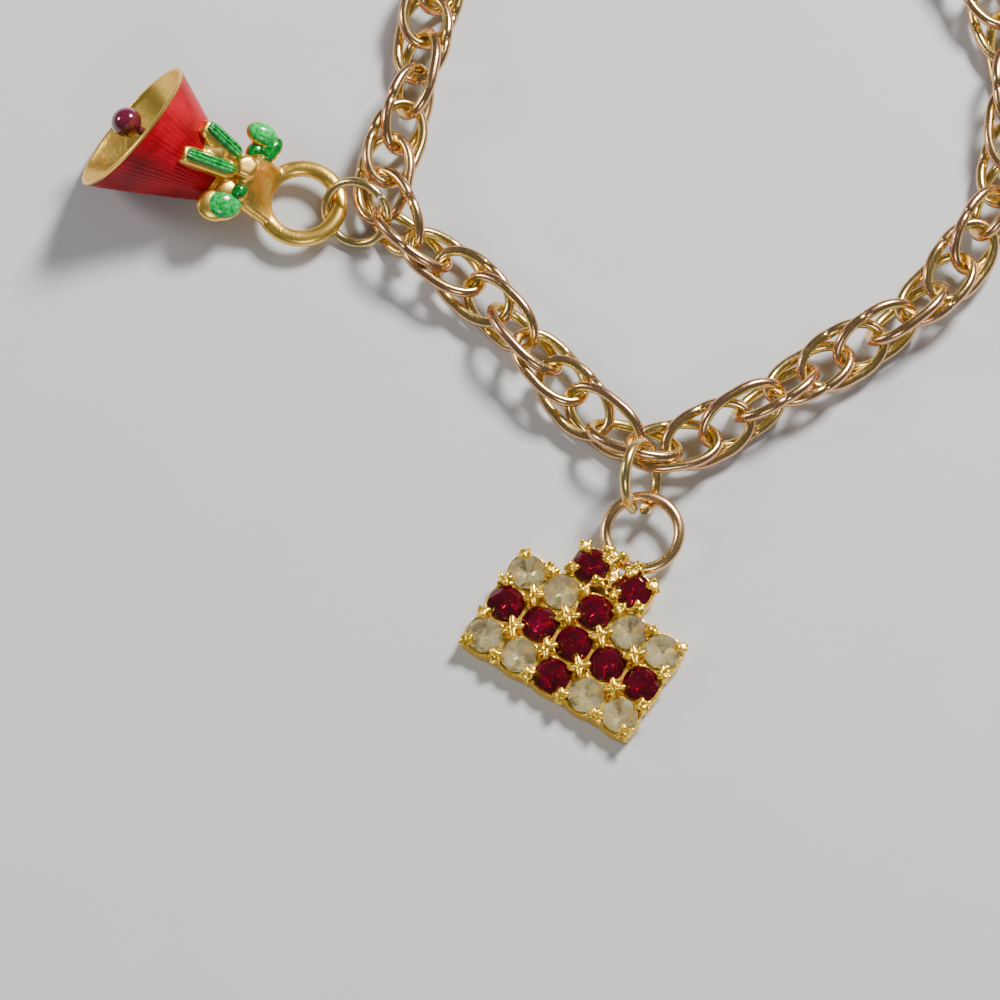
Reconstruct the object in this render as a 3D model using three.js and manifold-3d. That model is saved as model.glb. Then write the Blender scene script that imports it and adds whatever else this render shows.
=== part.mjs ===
// Charm bracelet lying on a flat surface, sizes in millimetres, +Z up.
// The chain is a rope of oval wire links: each link passes through the two
// links before it and the two links after it.
// Two charms hang on it: a box of cut stones and an enamelled bell.
import * as THREE from "three";
import { mergeVertices } from "three/addons/utils/BufferGeometryUtils.js";
import Module from "manifold-3d";

const wasm = await Module();
wasm.setup();

// Chain
const LINK_LENGTH = 9.2;
const LINK_WIDTH = 5.7;
const LINK_WIRE = 1.08;
// Spacing that the links aim at; the exact one shares out the route's length
const LINK_PITCH = 3.6;
const LINKS_IN_UPPER_CHAIN = 21;
const JUNCTION_PITCH = 3.33;
// Route from the last link's middle, through the clasp, to the first link's
const CLASP_ROOM = 11.496;
// Route from the first link's middle to the first route point
const FIRST_LINK_BACK = 36.55;
const LINK_SIDES = 10;
const WIRE_SIDES = 5;
const FLAT_LEAN = 20;
const STEEP_LEAN = 50;
const LINK_LEANS = [STEEP_LEAN, 180 - STEEP_LEAN, 180 - FLAT_LEAN, FLAT_LEAN];
const CHAIN_HEIGHT = 2.24;
// Half of the chord along which a link takes its direction
const LINK_REACH = 3;

// Centre line of the chain: points along the open stretch, then one round arc
const ROUTE_POINTS = [
  [-6.5, 47.7], [-7.1, 44.9], [-7.6, 40.4], [-9.6, 33.9],
  [-10.8, 29.0], [-9.0, 25.4], [-5.3, 22.6], [-0.9, 18.4],
  [4.1, 12.7], [8.0, 8.0], [11.6, 4.9], [15.4, 4.3],
  [20.0, 6.2], [26.0, 10.1], [29.9, 12.5], [34.1, 15.0],
];
const ARC_CENTRE = [19.6, 38.6];
const ARC_RADIUS = 27.7;
const ARC_START = -58.4;
const ARC_SWEEP = 219.2;
const ARC_POINTS = 11;

// Clasp
const CLASP_DIAMETER = 8;
const CLASP_WIRE = 1.5;
const CLASP_LEAN = -20;

// Box charm
const STONE_PITCH = 3.6;
const STONE_RADIUS = 1.5;
const STONE_TABLE = 0.9;
const STONE_GIRDLE_Z = 1.6;
const STONE_CROWN = 0.55;
const STONE_DEPTH = 0.8;
const BOX_COLUMNS = 5;
const BOX_ROWS = 3;
const BOX_CENTRE = [6.64, -14.5];
const BOX_TURN = -32.4;
const BOW_STONE_SPREAD = 4.56;
const BOW_STONE_ROW = 7.2;
const CUP_RADIUS = 1.95;
const CUP_HEIGHT = 1.6;
const CUP_SIDES = 8;
const SEAT_GAP = 0.08;
const PRONG_RADIUS = 0.8;
const PRONG_TOP = 2.2;
const CLAW_LENGTH = 1.18;
const CLAW_CORE = 0.5;
const CLAW_THICKNESS = 0.28;
const CORNER_SIDES = [[-1, -1], [1, -1], [1, 1], [-1, 1]];
const BOX_RING_RADIUS = 3.35;
const BOX_RING_WIRE = 0.95;
const BOX_RING_CENTRE = [-0.4, 12.35];
const BOX_RING_HEIGHT = 1.75;
const BOX_RING_LEAN = 8;

// Jump ring of the box charm
const BOX_JUMP_RADIUS = 3;
const BOX_JUMP_WIRE = 0.95;
const BOX_JUMP_CENTRE = [12.8, 1, 3.4];
const BOX_JUMP_LEANS = [10, 64];

// Bell charm
const BELL_LENGTH = 11;
const BELL_CROWN = [-23.5, 29.32, 2.29];
const BELL_HEADING = 154;
const BELL_RISE = 19.6;
const BELL_SIDES = 24;
const ENAMEL_START = 3.4;
const ENAMEL_END = 10.3;
// Outside and hollow of the bell as [distance from the crown, radius]
const BELL_PROFILE = [
  [0, 0.6], [0.3, 1.2], [1.2, 1.7], [ENAMEL_START, 2.65], [5.9, 3.9],
  [8.4, 5.3], [ENAMEL_END, 6.08], [BELL_LENGTH, 6.27],
];
const BELL_HOLLOW = [[3.2, 0], [3.2, 0.9], [5.9, 2.95], [9.8, 5.1], [BELL_LENGTH, 5.8]];
const ENAMEL_DEPTH = 0.35;
const ENAMEL_GAP = 0.04;
const CAST_RING_RADIUS = 3.4;
const CAST_RING_WIDTH = 1.5;
const CAST_RING_THICKNESS = 1.2;
const CAST_RING_CENTRE = [-18.15, 28.1, 2];
const NECK_RADIUS = 1;
const CLAPPER_BALL = 1.4;
const CLAPPER_REACH = 12.6;
const CLAPPER_ROD = 0.4;
const CLAPPER_START = 3.35;

// Bow on the bell: start, end as [along the bell, sideways, above the axis]
const BOW_THICKNESS = 1.2;
const BOW_FRAME = 0.35;
const KNOT_RADIUS = 1.4;
const KNOT_PLACE = [1.1, -1.35, 2.3];
const BOW_LOBES = [
  { name: "upper", start: [0.9, -1.6, 2.1], end: [0.2, -6.5, 1.4], width: 3.2 },
  { name: "lower", start: [1.0, -0.6, 2.5], end: [2.5, 4.6, 1.6], width: 3.2 },
  { name: "tail_left", start: [1.3, -1.1, 2.5], end: [6.8, 1.4, 4.5], width: 1.7 },
  { name: "tail_right", start: [1.3, -1.6, 2.4], end: [6.2, -2.1, 4.1], width: 1.7 },
];

// Jump ring of the bell charm
const BELL_JUMP_RADIUS = 3;
const BELL_JUMP_WIRE = 0.85;
const BELL_JUMP_CENTRE = [-13.16, 27.18, 2.64];
const BELL_JUMP_LEANS = [39, -26];
const SPLIT_WIDTH = 0.15;
const RING_SIDES = 18;
const RING_WIRE_SIDES = 8;

const COLOURS = {
  chain: [0xc9a15f, 0.3, 1],
  clasp: [0xcfa864, 0.3, 1],
  setting: [0xd6a534, 0.32, 1],
  ring: [0xb39a55, 0.36, 1],
  casting: [0xd0a548, 0.4, 1],
  clear: [0xd9d6c8, 0.05, 0.1],
  red: [0x7d0f1a, 0.06, 0.1],
  redEnamel: [0x9c1720, 0.12, 0],
  greenEnamel: [0x2f6b34, 0.15, 0],
  clapper: [0x6b1730, 0.12, 0.1],
};

function radians(degrees) {
  return THREE.MathUtils.degToRad(degrees);
}

function material(kind) {
  const [color, roughness, metalness] = COLOURS[kind];
  return new THREE.MeshStandardMaterial({ color, roughness, metalness });
}

function namedMesh(name, geometry, kind) {
  const mesh = new THREE.Mesh(geometry, material(kind));
  mesh.name = name;
  return mesh;
}

function toSolid(geometry) {
  const plain = geometry.clone();
  plain.deleteAttribute("normal");
  plain.deleteAttribute("uv");
  const merged = mergeVertices(plain, 1e-4);
  return new wasm.Manifold(new wasm.Mesh({
    numProp: 3,
    vertProperties: new Float32Array(merged.attributes.position.array),
    triVerts: new Uint32Array(merged.index.array),
  }));
}

function toGeometry(solid) {
  const mesh = solid.getMesh();
  const geometry = new THREE.BufferGeometry();
  const places = new Float32Array(mesh.vertProperties);
  geometry.setAttribute("position", new THREE.BufferAttribute(places, 3));
  geometry.setIndex(new THREE.BufferAttribute(new Uint32Array(mesh.triVerts), 1));
  return flatShaded(geometry);
}

function flatShaded(geometry) {
  const open = geometry.index ? geometry.toNonIndexed() : geometry;
  open.computeVertexNormals();
  return open;
}

// Ring of round wire in the XY plane; the wire is a polygon with flats top and bottom
function wireRing(radius, wire, ringSides, wireSides) {
  const profile = [];
  for (let k = 0; k <= wireSides; k += 1) {
    const angle = (k + 0.5) / wireSides * Math.PI * 2;
    profile.push(new THREE.Vector2(
      radius + wire / 2 * Math.cos(angle),
      wire / 2 * Math.sin(angle),
    ));
  }
  const ring = new THREE.LatheGeometry(profile, ringSides, Math.PI / ringSides);
  return ring.rotateX(Math.PI / 2);
}

// One link along X: a ring pulled apart into an oval
function linkGeometry() {
  const ring = wireRing((LINK_WIDTH - LINK_WIRE) / 2, LINK_WIRE, LINK_SIDES, WIRE_SIDES);
  const places = ring.attributes.position;
  const pull = (LINK_LENGTH - LINK_WIDTH) / 2;
  for (let i = 0; i < places.count; i += 1) {
    places.setX(i, places.getX(i) + Math.sign(places.getX(i)) * pull);
  }
  return ring;
}

function chainRoute() {
  const points = ROUTE_POINTS.map(([x, y]) => new THREE.Vector3(x, y, CHAIN_HEIGHT));
  for (let i = 1; i < ARC_POINTS; i += 1) {
    const angle = radians(ARC_START + ARC_SWEEP * i / ARC_POINTS);
    points.push(new THREE.Vector3(
      ARC_CENTRE[0] + ARC_RADIUS * Math.cos(angle),
      ARC_CENTRE[1] + ARC_RADIUS * Math.sin(angle),
      CHAIN_HEIGHT,
    ));
  }
  const route = new THREE.CatmullRomCurve3(points, true, "centripetal");
  route.arcLengthDivisions = 2000;
  return route;
}

// Frame at a length along the route: X along it, Z up, turned by a lean about X
function routeFrame(route, length, lean) {
  const total = route.getLength();
  const share = (s) => THREE.MathUtils.euclideanModulo(s, total) / total;
  const before = route.getPointAt(share(length - LINK_REACH));
  const after = route.getPointAt(share(length + LINK_REACH));
  const along = after.sub(before).normalize();
  const up = new THREE.Vector3(0, 0, 1);
  const side = new THREE.Vector3().crossVectors(up, along);
  const frame = new THREE.Matrix4().makeBasis(along, side, up);
  frame.setPosition(route.getPointAt(share(length)));
  return frame.multiply(new THREE.Matrix4().makeRotationX(radians(lean)));
}

// Lengths along the route at which the links' middles lie; a longer loop has more links
function linkPlaces(route) {
  const run = route.getLength() - CLASP_ROOM - JUNCTION_PITCH;
  const evenSteps = Math.round(run / LINK_PITCH);
  const pitch = run / evenSteps;
  const places = [];
  for (let i = 0; i < evenSteps + 2; i += 1) {
    const even = i * pitch - FIRST_LINK_BACK;
    places.push(i < LINKS_IN_UPPER_CHAIN ? even : even - pitch + JUNCTION_PITCH);
  }
  return places;
}

function chainPiece(name, route, places, first, last) {
  const link = linkGeometry();
  const solids = [];
  for (let i = first; i < last; i += 1) {
    const lean = LINK_LEANS[i % LINK_LEANS.length];
    solids.push(toSolid(link.clone().applyMatrix4(routeFrame(route, places[i], lean))));
  }
  return namedMesh(name, toGeometry(wasm.Manifold.union(solids)), "chain");
}

function claspRing(route, places) {
  const radius = (CLASP_DIAMETER - CLASP_WIRE) / 2;
  const ring = wireRing(radius, CLASP_WIRE, RING_SIDES, RING_WIRE_SIDES);
  const middle = places[places.length - 1] + CLASP_ROOM / 2;
  ring.applyMatrix4(routeFrame(route, middle, CLASP_LEAN));
  return namedMesh("clasp", flatShaded(ring), "clasp");
}

// Centres of the stones in the box charm's own plane, with their colours
function stonePlaces() {
  const places = [];
  const middleColumn = (BOX_COLUMNS - 1) / 2;
  const middleRow = (BOX_ROWS - 1) / 2;
  for (let row = 0; row < BOX_ROWS; row += 1) {
    for (let column = 0; column < BOX_COLUMNS; column += 1) {
      const crossing = row === middleRow || column === middleColumn;
      places.push({
        x: (column - middleColumn) * STONE_PITCH,
        y: (middleRow - row) * STONE_PITCH,
        kind: crossing ? "red" : "clear",
      });
    }
  }
  for (const side of [-1, 1]) {
    const x = BOX_RING_CENTRE[0] + side * BOW_STONE_SPREAD / 2;
    places.push({ x, y: BOW_STONE_ROW, kind: "red" });
  }
  return places;
}

function boxFrame() {
  const frame = new THREE.Matrix4().makeRotationZ(radians(BOX_TURN));
  return frame.setPosition(BOX_CENTRE[0], BOX_CENTRE[1], 0);
}

function stoneGeometry() {
  const profile = [
    new THREE.Vector2(0, STONE_GIRDLE_Z - STONE_DEPTH),
    new THREE.Vector2(STONE_RADIUS, STONE_GIRDLE_Z),
    new THREE.Vector2(STONE_TABLE, STONE_GIRDLE_Z + STONE_CROWN),
    new THREE.Vector2(0, STONE_GIRDLE_Z + STONE_CROWN),
  ];
  return new THREE.LatheGeometry(profile, 8, Math.PI / 8).rotateX(Math.PI / 2);
}

// Space that a stone fills, a little larger than the stone all round
function seatSolid(x, y) {
  const rim = STONE_RADIUS + SEAT_GAP;
  const top = STONE_GIRDLE_Z + STONE_CROWN + SEAT_GAP;
  const seat = new THREE.LatheGeometry([
    new THREE.Vector2(0, STONE_GIRDLE_Z - STONE_DEPTH - SEAT_GAP),
    new THREE.Vector2(rim, STONE_GIRDLE_Z - SEAT_GAP),
    new THREE.Vector2(rim, STONE_GIRDLE_Z + SEAT_GAP),
    new THREE.Vector2(STONE_TABLE + SEAT_GAP, top),
    new THREE.Vector2(0, top),
  ], 8, Math.PI / 8).rotateX(Math.PI / 2).translate(x, y, 0);
  return toSolid(seat);
}

// Corners of the cups, each once, with the sides on which a stone lies
function cupCorners() {
  const corners = new Map();
  for (const { x, y } of stonePlaces()) {
    CORNER_SIDES.forEach(([sideX, sideY], side) => {
      const place = [x + sideX * STONE_PITCH / 2, y + sideY * STONE_PITCH / 2];
      const key = place.map((value) => value.toFixed(2)).join();
      const corner = corners.get(key) ?? { place, stones: new Set() };
      corner.stones.add((side + 2) % CORNER_SIDES.length);
      corners.set(key, corner);
    });
  }
  return [...corners.values()];
}

// A post at a corner, with a pointed claw over each stone around it
function prongSolids({ place, stones }) {
  const post = new THREE.CylinderGeometry(PRONG_RADIUS, PRONG_RADIUS, PRONG_TOP, 4);
  post.rotateY(Math.PI / 4).rotateX(Math.PI / 2);
  const outline = [];
  CORNER_SIDES.forEach((side, index) => {
    const angle = Math.atan2(side[1], side[0]);
    const reach = stones.has(index) ? CLAW_LENGTH : CLAW_CORE;
    outline.push(new THREE.Vector2(reach * Math.cos(angle), reach * Math.sin(angle)));
    const between = angle + Math.PI / 4;
    outline.push(new THREE.Vector2(
      CLAW_CORE * Math.cos(between), CLAW_CORE * Math.sin(between)));
  });
  const star = new THREE.ExtrudeGeometry(new THREE.Shape(outline), {
    depth: CLAW_THICKNESS, bevelEnabled: false,
  });
  const [x, y] = place;
  return [
    toSolid(post.translate(x, y, PRONG_TOP / 2)),
    toSolid(star.translate(x, y, PRONG_TOP - CLAW_THICKNESS)),
  ];
}

function boxSetting() {
  const metal = [];
  const seats = [];
  for (const { x, y } of stonePlaces()) {
    const cup = new THREE.CylinderGeometry(CUP_RADIUS, CUP_RADIUS, CUP_HEIGHT, CUP_SIDES);
    metal.push(toSolid(cup.rotateX(Math.PI / 2).translate(x, y, CUP_HEIGHT / 2)));
    seats.push(seatSolid(x, y));
  }
  for (const corner of cupCorners()) {
    metal.push(...prongSolids(corner));
  }
  const ring = wireRing(BOX_RING_RADIUS, BOX_RING_WIRE, RING_SIDES, RING_WIRE_SIDES);
  ring.rotateX(radians(BOX_RING_LEAN));
  ring.translate(BOX_RING_CENTRE[0], BOX_RING_CENTRE[1], BOX_RING_HEIGHT);
  metal.push(toSolid(ring));
  const solid = wasm.Manifold.union(metal).subtract(wasm.Manifold.union(seats));
  return namedMesh("gift_setting", toGeometry(solid).applyMatrix4(boxFrame()), "setting");
}

function boxStones() {
  return stonePlaces().map(({ x, y, kind }, index) => {
    const stone = flatShaded(stoneGeometry().translate(x, y, 0)).applyMatrix4(boxFrame());
    return namedMesh(`gift_stone_${index + 1}`, stone, kind);
  });
}

// Leans a flat ring about X, then about Y, and moves it to its centre
function leanAndPlace(ring, leans, centre) {
  ring.rotateX(radians(leans[0])).rotateY(radians(leans[1])).translate(...centre);
}

function boxJumpRing() {
  const ring = wireRing(BOX_JUMP_RADIUS, BOX_JUMP_WIRE, RING_SIDES, RING_WIRE_SIDES);
  leanAndPlace(ring, BOX_JUMP_LEANS, BOX_JUMP_CENTRE);
  return namedMesh("gift_jump_ring", flatShaded(ring), "ring");
}

function bellJumpRing() {
  const ring = wireRing(BELL_JUMP_RADIUS, BELL_JUMP_WIRE, RING_SIDES, RING_WIRE_SIDES);
  const split = new THREE.BoxGeometry(BELL_JUMP_WIRE * 2, SPLIT_WIDTH, BELL_JUMP_WIRE * 2);
  split.translate(BELL_JUMP_RADIUS, 0, 0).rotateZ(radians(20));
  const open = toGeometry(toSolid(ring).subtract(toSolid(split)));
  leanAndPlace(open, BELL_JUMP_LEANS, BELL_JUMP_CENTRE);
  return namedMesh("bell_jump_ring", open, "ring");
}

// Frame of the bell: X from the crown to the mouth, Z away from the surface
function bellFrame() {
  const frame = new THREE.Matrix4().makeRotationZ(radians(BELL_HEADING));
  frame.multiply(new THREE.Matrix4().makeRotationY(radians(-BELL_RISE)));
  return frame.setPosition(...BELL_CROWN);
}

// Revolves points [along, radius] about the bell's axis
function bellLathe(points, sides) {
  const profile = points.map(([along, radius]) => new THREE.Vector2(radius, along));
  return new THREE.LatheGeometry(profile, sides).rotateZ(-Math.PI / 2);
}

function bellShell() {
  const outside = [[0, 0]];
  for (const [along, radius] of BELL_PROFILE) {
    if (along <= ENAMEL_START) {
      outside.push([along, radius]);
    }
    if (along >= ENAMEL_START && along <= ENAMEL_END) {
      outside.push([along, radius - ENAMEL_DEPTH]);
    }
    if (along >= ENAMEL_END) {
      outside.push([along, radius]);
    }
  }
  return bellLathe([...outside, ...BELL_HOLLOW.toReversed()], BELL_SIDES);
}

function bellEnamel() {
  const field = BELL_PROFILE.filter(([a]) => a >= ENAMEL_START && a <= ENAMEL_END);
  const trim = (along) => THREE.MathUtils.clamp(
    along, ENAMEL_START + ENAMEL_GAP, ENAMEL_END - ENAMEL_GAP);
  const outside = field.map(([along, radius]) => [trim(along), radius]);
  const depth = ENAMEL_DEPTH - ENAMEL_GAP;
  const inside = field.map(([along, radius]) => [trim(along), radius - depth]).reverse();
  const skin = bellLathe([...outside, ...inside, outside[0]], BELL_SIDES);
  return namedMesh("bell_enamel", flatShaded(skin).applyMatrix4(bellFrame()), "redEnamel");
}

// Rounded plate from start to end; inset draws its edge in all round
function lobePlate({ start, end, width }, thickness, inset) {
  const from = new THREE.Vector3(...start);
  const to = new THREE.Vector3(...end);
  const length = from.distanceTo(to);
  const shape = new THREE.Shape();
  shape.absellipse(length / 2, 0, length / 2 - inset, width / 2 - inset, 0, Math.PI * 2);
  const plate = new THREE.ExtrudeGeometry(shape, {
    depth: thickness, bevelEnabled: false, curveSegments: 8,
  });
  const along = to.sub(from).normalize();
  const side = new THREE.Vector3().crossVectors(new THREE.Vector3(0, 0, 1), along);
  side.normalize();
  const up = new THREE.Vector3().crossVectors(along, side);
  return plate.applyMatrix4(new THREE.Matrix4().makeBasis(along, side, up).setPosition(from));
}

function bowEnamelDepth() {
  return BOW_THICKNESS / 2;
}

function bellCasting() {
  const frame = bellFrame();
  const parts = [toSolid(bellShell())];
  for (const lobe of BOW_LOBES) {
    parts.push(toSolid(lobePlate(lobe, BOW_THICKNESS, 0)));
  }
  const knot = new THREE.SphereGeometry(KNOT_RADIUS, 10, 8).translate(...KNOT_PLACE);
  parts.push(toSolid(knot));
  const metal = wasm.Manifold.union(parts);
  const fields = [];
  for (const lobe of BOW_LOBES) {
    const field = lobePlate(lobe, BOW_THICKNESS, BOW_FRAME);
    fields.push(toSolid(field.translate(0, 0, bowEnamelDepth())));
  }
  const carved = toGeometry(metal.subtract(wasm.Manifold.union(fields))).applyMatrix4(frame);
  const ring = castRing();
  const whole = wasm.Manifold.union([toSolid(carved), toSolid(ring), toSolid(neck())]);
  return namedMesh("bell_casting", toGeometry(whole), "casting");
}

function castRing() {
  const profile = [];
  for (let k = 0; k <= RING_WIRE_SIDES; k += 1) {
    const angle = (k + 0.5) / RING_WIRE_SIDES * Math.PI * 2;
    profile.push(new THREE.Vector2(
      CAST_RING_RADIUS + CAST_RING_WIDTH / 2 * Math.cos(angle),
      CAST_RING_THICKNESS / 2 * Math.sin(angle),
    ));
  }
  const ring = new THREE.LatheGeometry(profile, RING_SIDES).rotateX(Math.PI / 2);
  return ring.translate(...CAST_RING_CENTRE);
}

// Short bar from inside the crown to the cast ring's metal
function neck() {
  const crown = new THREE.Vector3(...BELL_CROWN);
  const ring = new THREE.Vector3(...CAST_RING_CENTRE);
  const away = crown.clone().sub(ring).normalize();
  const end = ring.clone().addScaledVector(away, CAST_RING_RADIUS);
  const start = new THREE.Vector3(1, 0, 0.6).applyMatrix4(bellFrame());
  const bar = new THREE.CylinderGeometry(
    NECK_RADIUS * 0.7, NECK_RADIUS, start.distanceTo(end), 8);
  const turn = new THREE.Quaternion().setFromUnitVectors(
    new THREE.Vector3(0, 1, 0), end.clone().sub(start).normalize());
  bar.applyQuaternion(turn);
  const middle = start.add(end).multiplyScalar(0.5);
  return bar.translate(middle.x, middle.y, middle.z);
}

function bowEnamels() {
  const frame = bellFrame();
  return BOW_LOBES.map((lobe) => {
    const inset = BOW_FRAME + ENAMEL_GAP;
    const depth = BOW_THICKNESS - bowEnamelDepth() - ENAMEL_GAP;
    const plate = lobePlate(lobe, depth, inset);
    plate.translate(0, 0, bowEnamelDepth() + ENAMEL_GAP);
    return namedMesh(`bow_enamel_${lobe.name}`, flatShaded(plate).applyMatrix4(frame),
      "greenEnamel");
  });
}

function bellClapper() {
  const points = [[CLAPPER_START, 0], [CLAPPER_START, CLAPPER_ROD]];
  const joint = Math.asin(CLAPPER_ROD / CLAPPER_BALL);
  for (let k = 0; k <= 6; k += 1) {
    const angle = joint + (Math.PI - joint) * k / 6;
    const radius = k === 6 ? 0 : CLAPPER_BALL * Math.sin(angle);
    points.push([CLAPPER_REACH - CLAPPER_BALL * Math.cos(angle), radius]);
  }
  const clapper = flatShaded(bellLathe(points, 12)).applyMatrix4(bellFrame());
  return namedMesh("bell_clapper", clapper, "clapper");
}

// Moves all pieces so that the middle of their box stands over the origin, bottom at 0
function centred(group) {
  const box = new THREE.Box3().setFromObject(group);
  const middle = box.getCenter(new THREE.Vector3());
  for (const mesh of group.children) {
    mesh.geometry.translate(-middle.x, -middle.y, -box.min.z);
  }
  return group;
}

function bracelet() {
  const route = chainRoute();
  const places = linkPlaces(route);
  const group = new THREE.Group();
  group.name = "charm_bracelet";
  group.add(
    chainPiece("chain_upper", route, places, 0, LINKS_IN_UPPER_CHAIN),
    chainPiece("chain_lower", route, places, LINKS_IN_UPPER_CHAIN, places.length),
    claspRing(route, places),
    boxSetting(),
    ...boxStones(),
    boxJumpRing(),
    bellCasting(),
    bellEnamel(),
    ...bowEnamels(),
    bellClapper(),
    bellJumpRing(),
  );
  return centred(group);
}

export default bracelet();
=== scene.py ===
"""Charm bracelet lying on a pale table.

A rope of oval gold wire links carries two charms: a gift box set with cut
stones, and an enamelled bell under a bow. Pieces are drawn in millimetres in
the frame in which the bracelet's route is measured, and placed in metres.
"""
import logging
import math
import random
from dataclasses import dataclass, field
from enum import Enum
from typing import Callable, Sequence

import bmesh
import bpy
from mathutils import Matrix, Vector


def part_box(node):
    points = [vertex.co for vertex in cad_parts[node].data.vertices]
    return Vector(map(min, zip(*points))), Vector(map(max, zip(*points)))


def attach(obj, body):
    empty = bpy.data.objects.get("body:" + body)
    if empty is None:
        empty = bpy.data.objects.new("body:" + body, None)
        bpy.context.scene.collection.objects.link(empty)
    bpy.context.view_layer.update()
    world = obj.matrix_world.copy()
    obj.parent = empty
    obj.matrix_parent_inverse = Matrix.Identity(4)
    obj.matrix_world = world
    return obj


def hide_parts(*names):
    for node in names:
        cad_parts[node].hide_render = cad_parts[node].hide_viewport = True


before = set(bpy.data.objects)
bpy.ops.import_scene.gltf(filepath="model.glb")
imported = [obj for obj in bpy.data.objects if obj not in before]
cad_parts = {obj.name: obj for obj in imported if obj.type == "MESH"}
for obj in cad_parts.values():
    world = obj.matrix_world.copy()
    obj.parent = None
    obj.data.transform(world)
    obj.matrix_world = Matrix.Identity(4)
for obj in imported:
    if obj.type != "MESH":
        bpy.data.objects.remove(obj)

LOG = logging.getLogger("bracelet")

MM = 0.001
FULL_TURN = 2.0 * math.pi
MERGE_DISTANCE = 1e-4
BODY = "root"

Colour = tuple[float, float, float, float]
Point = tuple[float, float, float]
Pair = tuple[float, float]


class Slot(Enum):
    """Names of the bracelet's material slots."""

    CHAIN = "chain_metal"
    CLASP = "clasp_metal"
    SETTING = "setting_metal"
    RING = "ring_metal"
    CASTING = "casting_metal"
    CLEAR_STONE = "clear_stone"
    RED_STONE = "red_stone"
    RED_ENAMEL = "red_enamel"
    GREEN_ENAMEL = "green_enamel"
    CLAPPER = "clapper_gloss"


# Placing and finishing meshes

def drawing_to_row() -> Matrix:
    """Give the matrix from the drawing's millimetres to the row frame.

    Returns:
        A matrix that scales to metres and moves the gift charm's middle stone
        onto its CAD node.
    """
    low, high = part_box("gift_stone_8")
    middle = (low + high) / 2.0
    centre = GiftCharm.centre
    shift = Vector((middle.x - centre[0] * MM, middle.y - centre[1] * MM, 0.0))
    return Matrix.Translation(shift) @ Matrix.Scale(MM, 4)


def turned_about(axis: str, degrees: float) -> Matrix:
    """Give the rotation about a named axis by an angle in degrees."""
    return Matrix.Rotation(math.radians(degrees), 4, axis)


def basis(along: Vector, side: Vector, up: Vector, origin: Vector) -> Matrix:
    """Build a placing matrix from three axes and an origin.

    Args:
        along: Direction of the local X axis.
        side: Direction of the local Y axis.
        up: Direction of the local Z axis.
        origin: Place of the local origin.

    Returns:
        The four by four matrix.
    """
    placing = Matrix((along, side, up)).transposed().to_4x4()
    placing.translation = origin
    return placing


def along_line(start: Vector, end: Vector) -> Matrix:
    """Place a shape drawn along X between two points, with Z kept upward.

    Args:
        start: Point at which the local origin goes.
        end: Point towards which local X runs.

    Returns:
        The placing matrix.
    """
    along = (end - start).normalized()
    side = Vector((0.0, 0.0, 1.0)).cross(along).normalized()
    return basis(along, side, along.cross(side), start)


def tidy_shell(bm: bmesh.types.BMesh) -> None:
    """Merge doubled vertices and turn all faces outward."""
    bmesh.ops.remove_doubles(bm, verts=bm.verts[:], dist=MERGE_DISTANCE)
    bmesh.ops.recalc_face_normals(bm, faces=bm.faces[:])


def append_shape(whole: bmesh.types.BMesh, part: bmesh.types.BMesh) -> list[bmesh.types.BMVert]:
    """Add one shape to another and free it.

    Args:
        whole: Shape that grows.
        part: Shape that is added.

    Returns:
        The added vertices, in the part's order.
    """
    carrier = bpy.data.meshes.new("carrier")
    part.to_mesh(carrier)
    part.free()
    before = len(whole.verts)
    whole.from_mesh(carrier)
    bpy.data.meshes.remove(carrier)
    whole.verts.ensure_lookup_table()
    return whole.verts[before:]


def placed_object(name: str, data: bpy.types.ID) -> bpy.types.Object:
    """Make an object and put it in the scene.

    Args:
        name: Name of the object.
        data: Its mesh, camera or light.

    Returns:
        The object.
    """
    made = bpy.data.objects.new(name, data)
    bpy.context.scene.collection.objects.link(made)
    return made


def piece_from(
    bm: bmesh.types.BMesh,
    name: str,
    materials: Sequence[bpy.types.Material],
    nodes: Sequence[str],
    sharp_degrees: float = 40.0,
) -> bpy.types.Object:
    """Turn a shape drawn in millimetres into a piece of the bracelet.

    Args:
        bm: The shape, which is freed.
        name: Name of the piece.
        materials: Its materials, in the order of the faces' indices.
        nodes: CAD nodes that it stands for.
        sharp_degrees: Angle past which an edge stays sharp.

    Returns:
        The object, riding on the bracelet's body.
    """
    bmesh.ops.transform(bm, matrix=drawing_to_row(), verts=bm.verts[:])
    for face in bm.faces:
        face.smooth = True
    mesh = bpy.data.meshes.new(name)
    bm.to_mesh(mesh)
    bm.free()
    for material in materials:
        mesh.materials.append(material)
    mesh.set_sharp_from_angle(angle=math.radians(sharp_degrees))
    piece = placed_object(name, mesh)
    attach(piece, BODY)
    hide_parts(*nodes)
    LOG.info("%s: %d faces", name, len(mesh.polygons))
    return piece


def fused(bm: bmesh.types.BMesh, voxel: float, smoothing: int) -> bmesh.types.BMesh:
    """Melt overlapping shapes into one skin, as solder and casting do.

    Args:
        bm: Overlapping closed shapes, which are freed.
        voxel: Grid size in millimetres.
        smoothing: Number of smoothing passes.

    Returns:
        The single skin.
    """
    mesh = bpy.data.meshes.new("fusing")
    bm.to_mesh(mesh)
    bm.free()
    carrier = placed_object("fusing", mesh)
    remesh = carrier.modifiers.new("fuse", "REMESH")
    remesh.mode = "VOXEL"
    remesh.voxel_size = voxel
    bpy.context.view_layer.update()
    evaluated = carrier.evaluated_get(bpy.context.evaluated_depsgraph_get())
    skin = bmesh.new()
    skin.from_mesh(evaluated.to_mesh())
    evaluated.to_mesh_clear()
    bpy.data.objects.remove(carrier)
    bpy.data.meshes.remove(mesh)
    for _ in range(smoothing):
        bmesh.ops.smooth_vert(
            skin, verts=skin.verts[:], factor=0.5,
            use_axis_x=True, use_axis_y=True, use_axis_z=True)
    return skin


# Basic worked shapes

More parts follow.
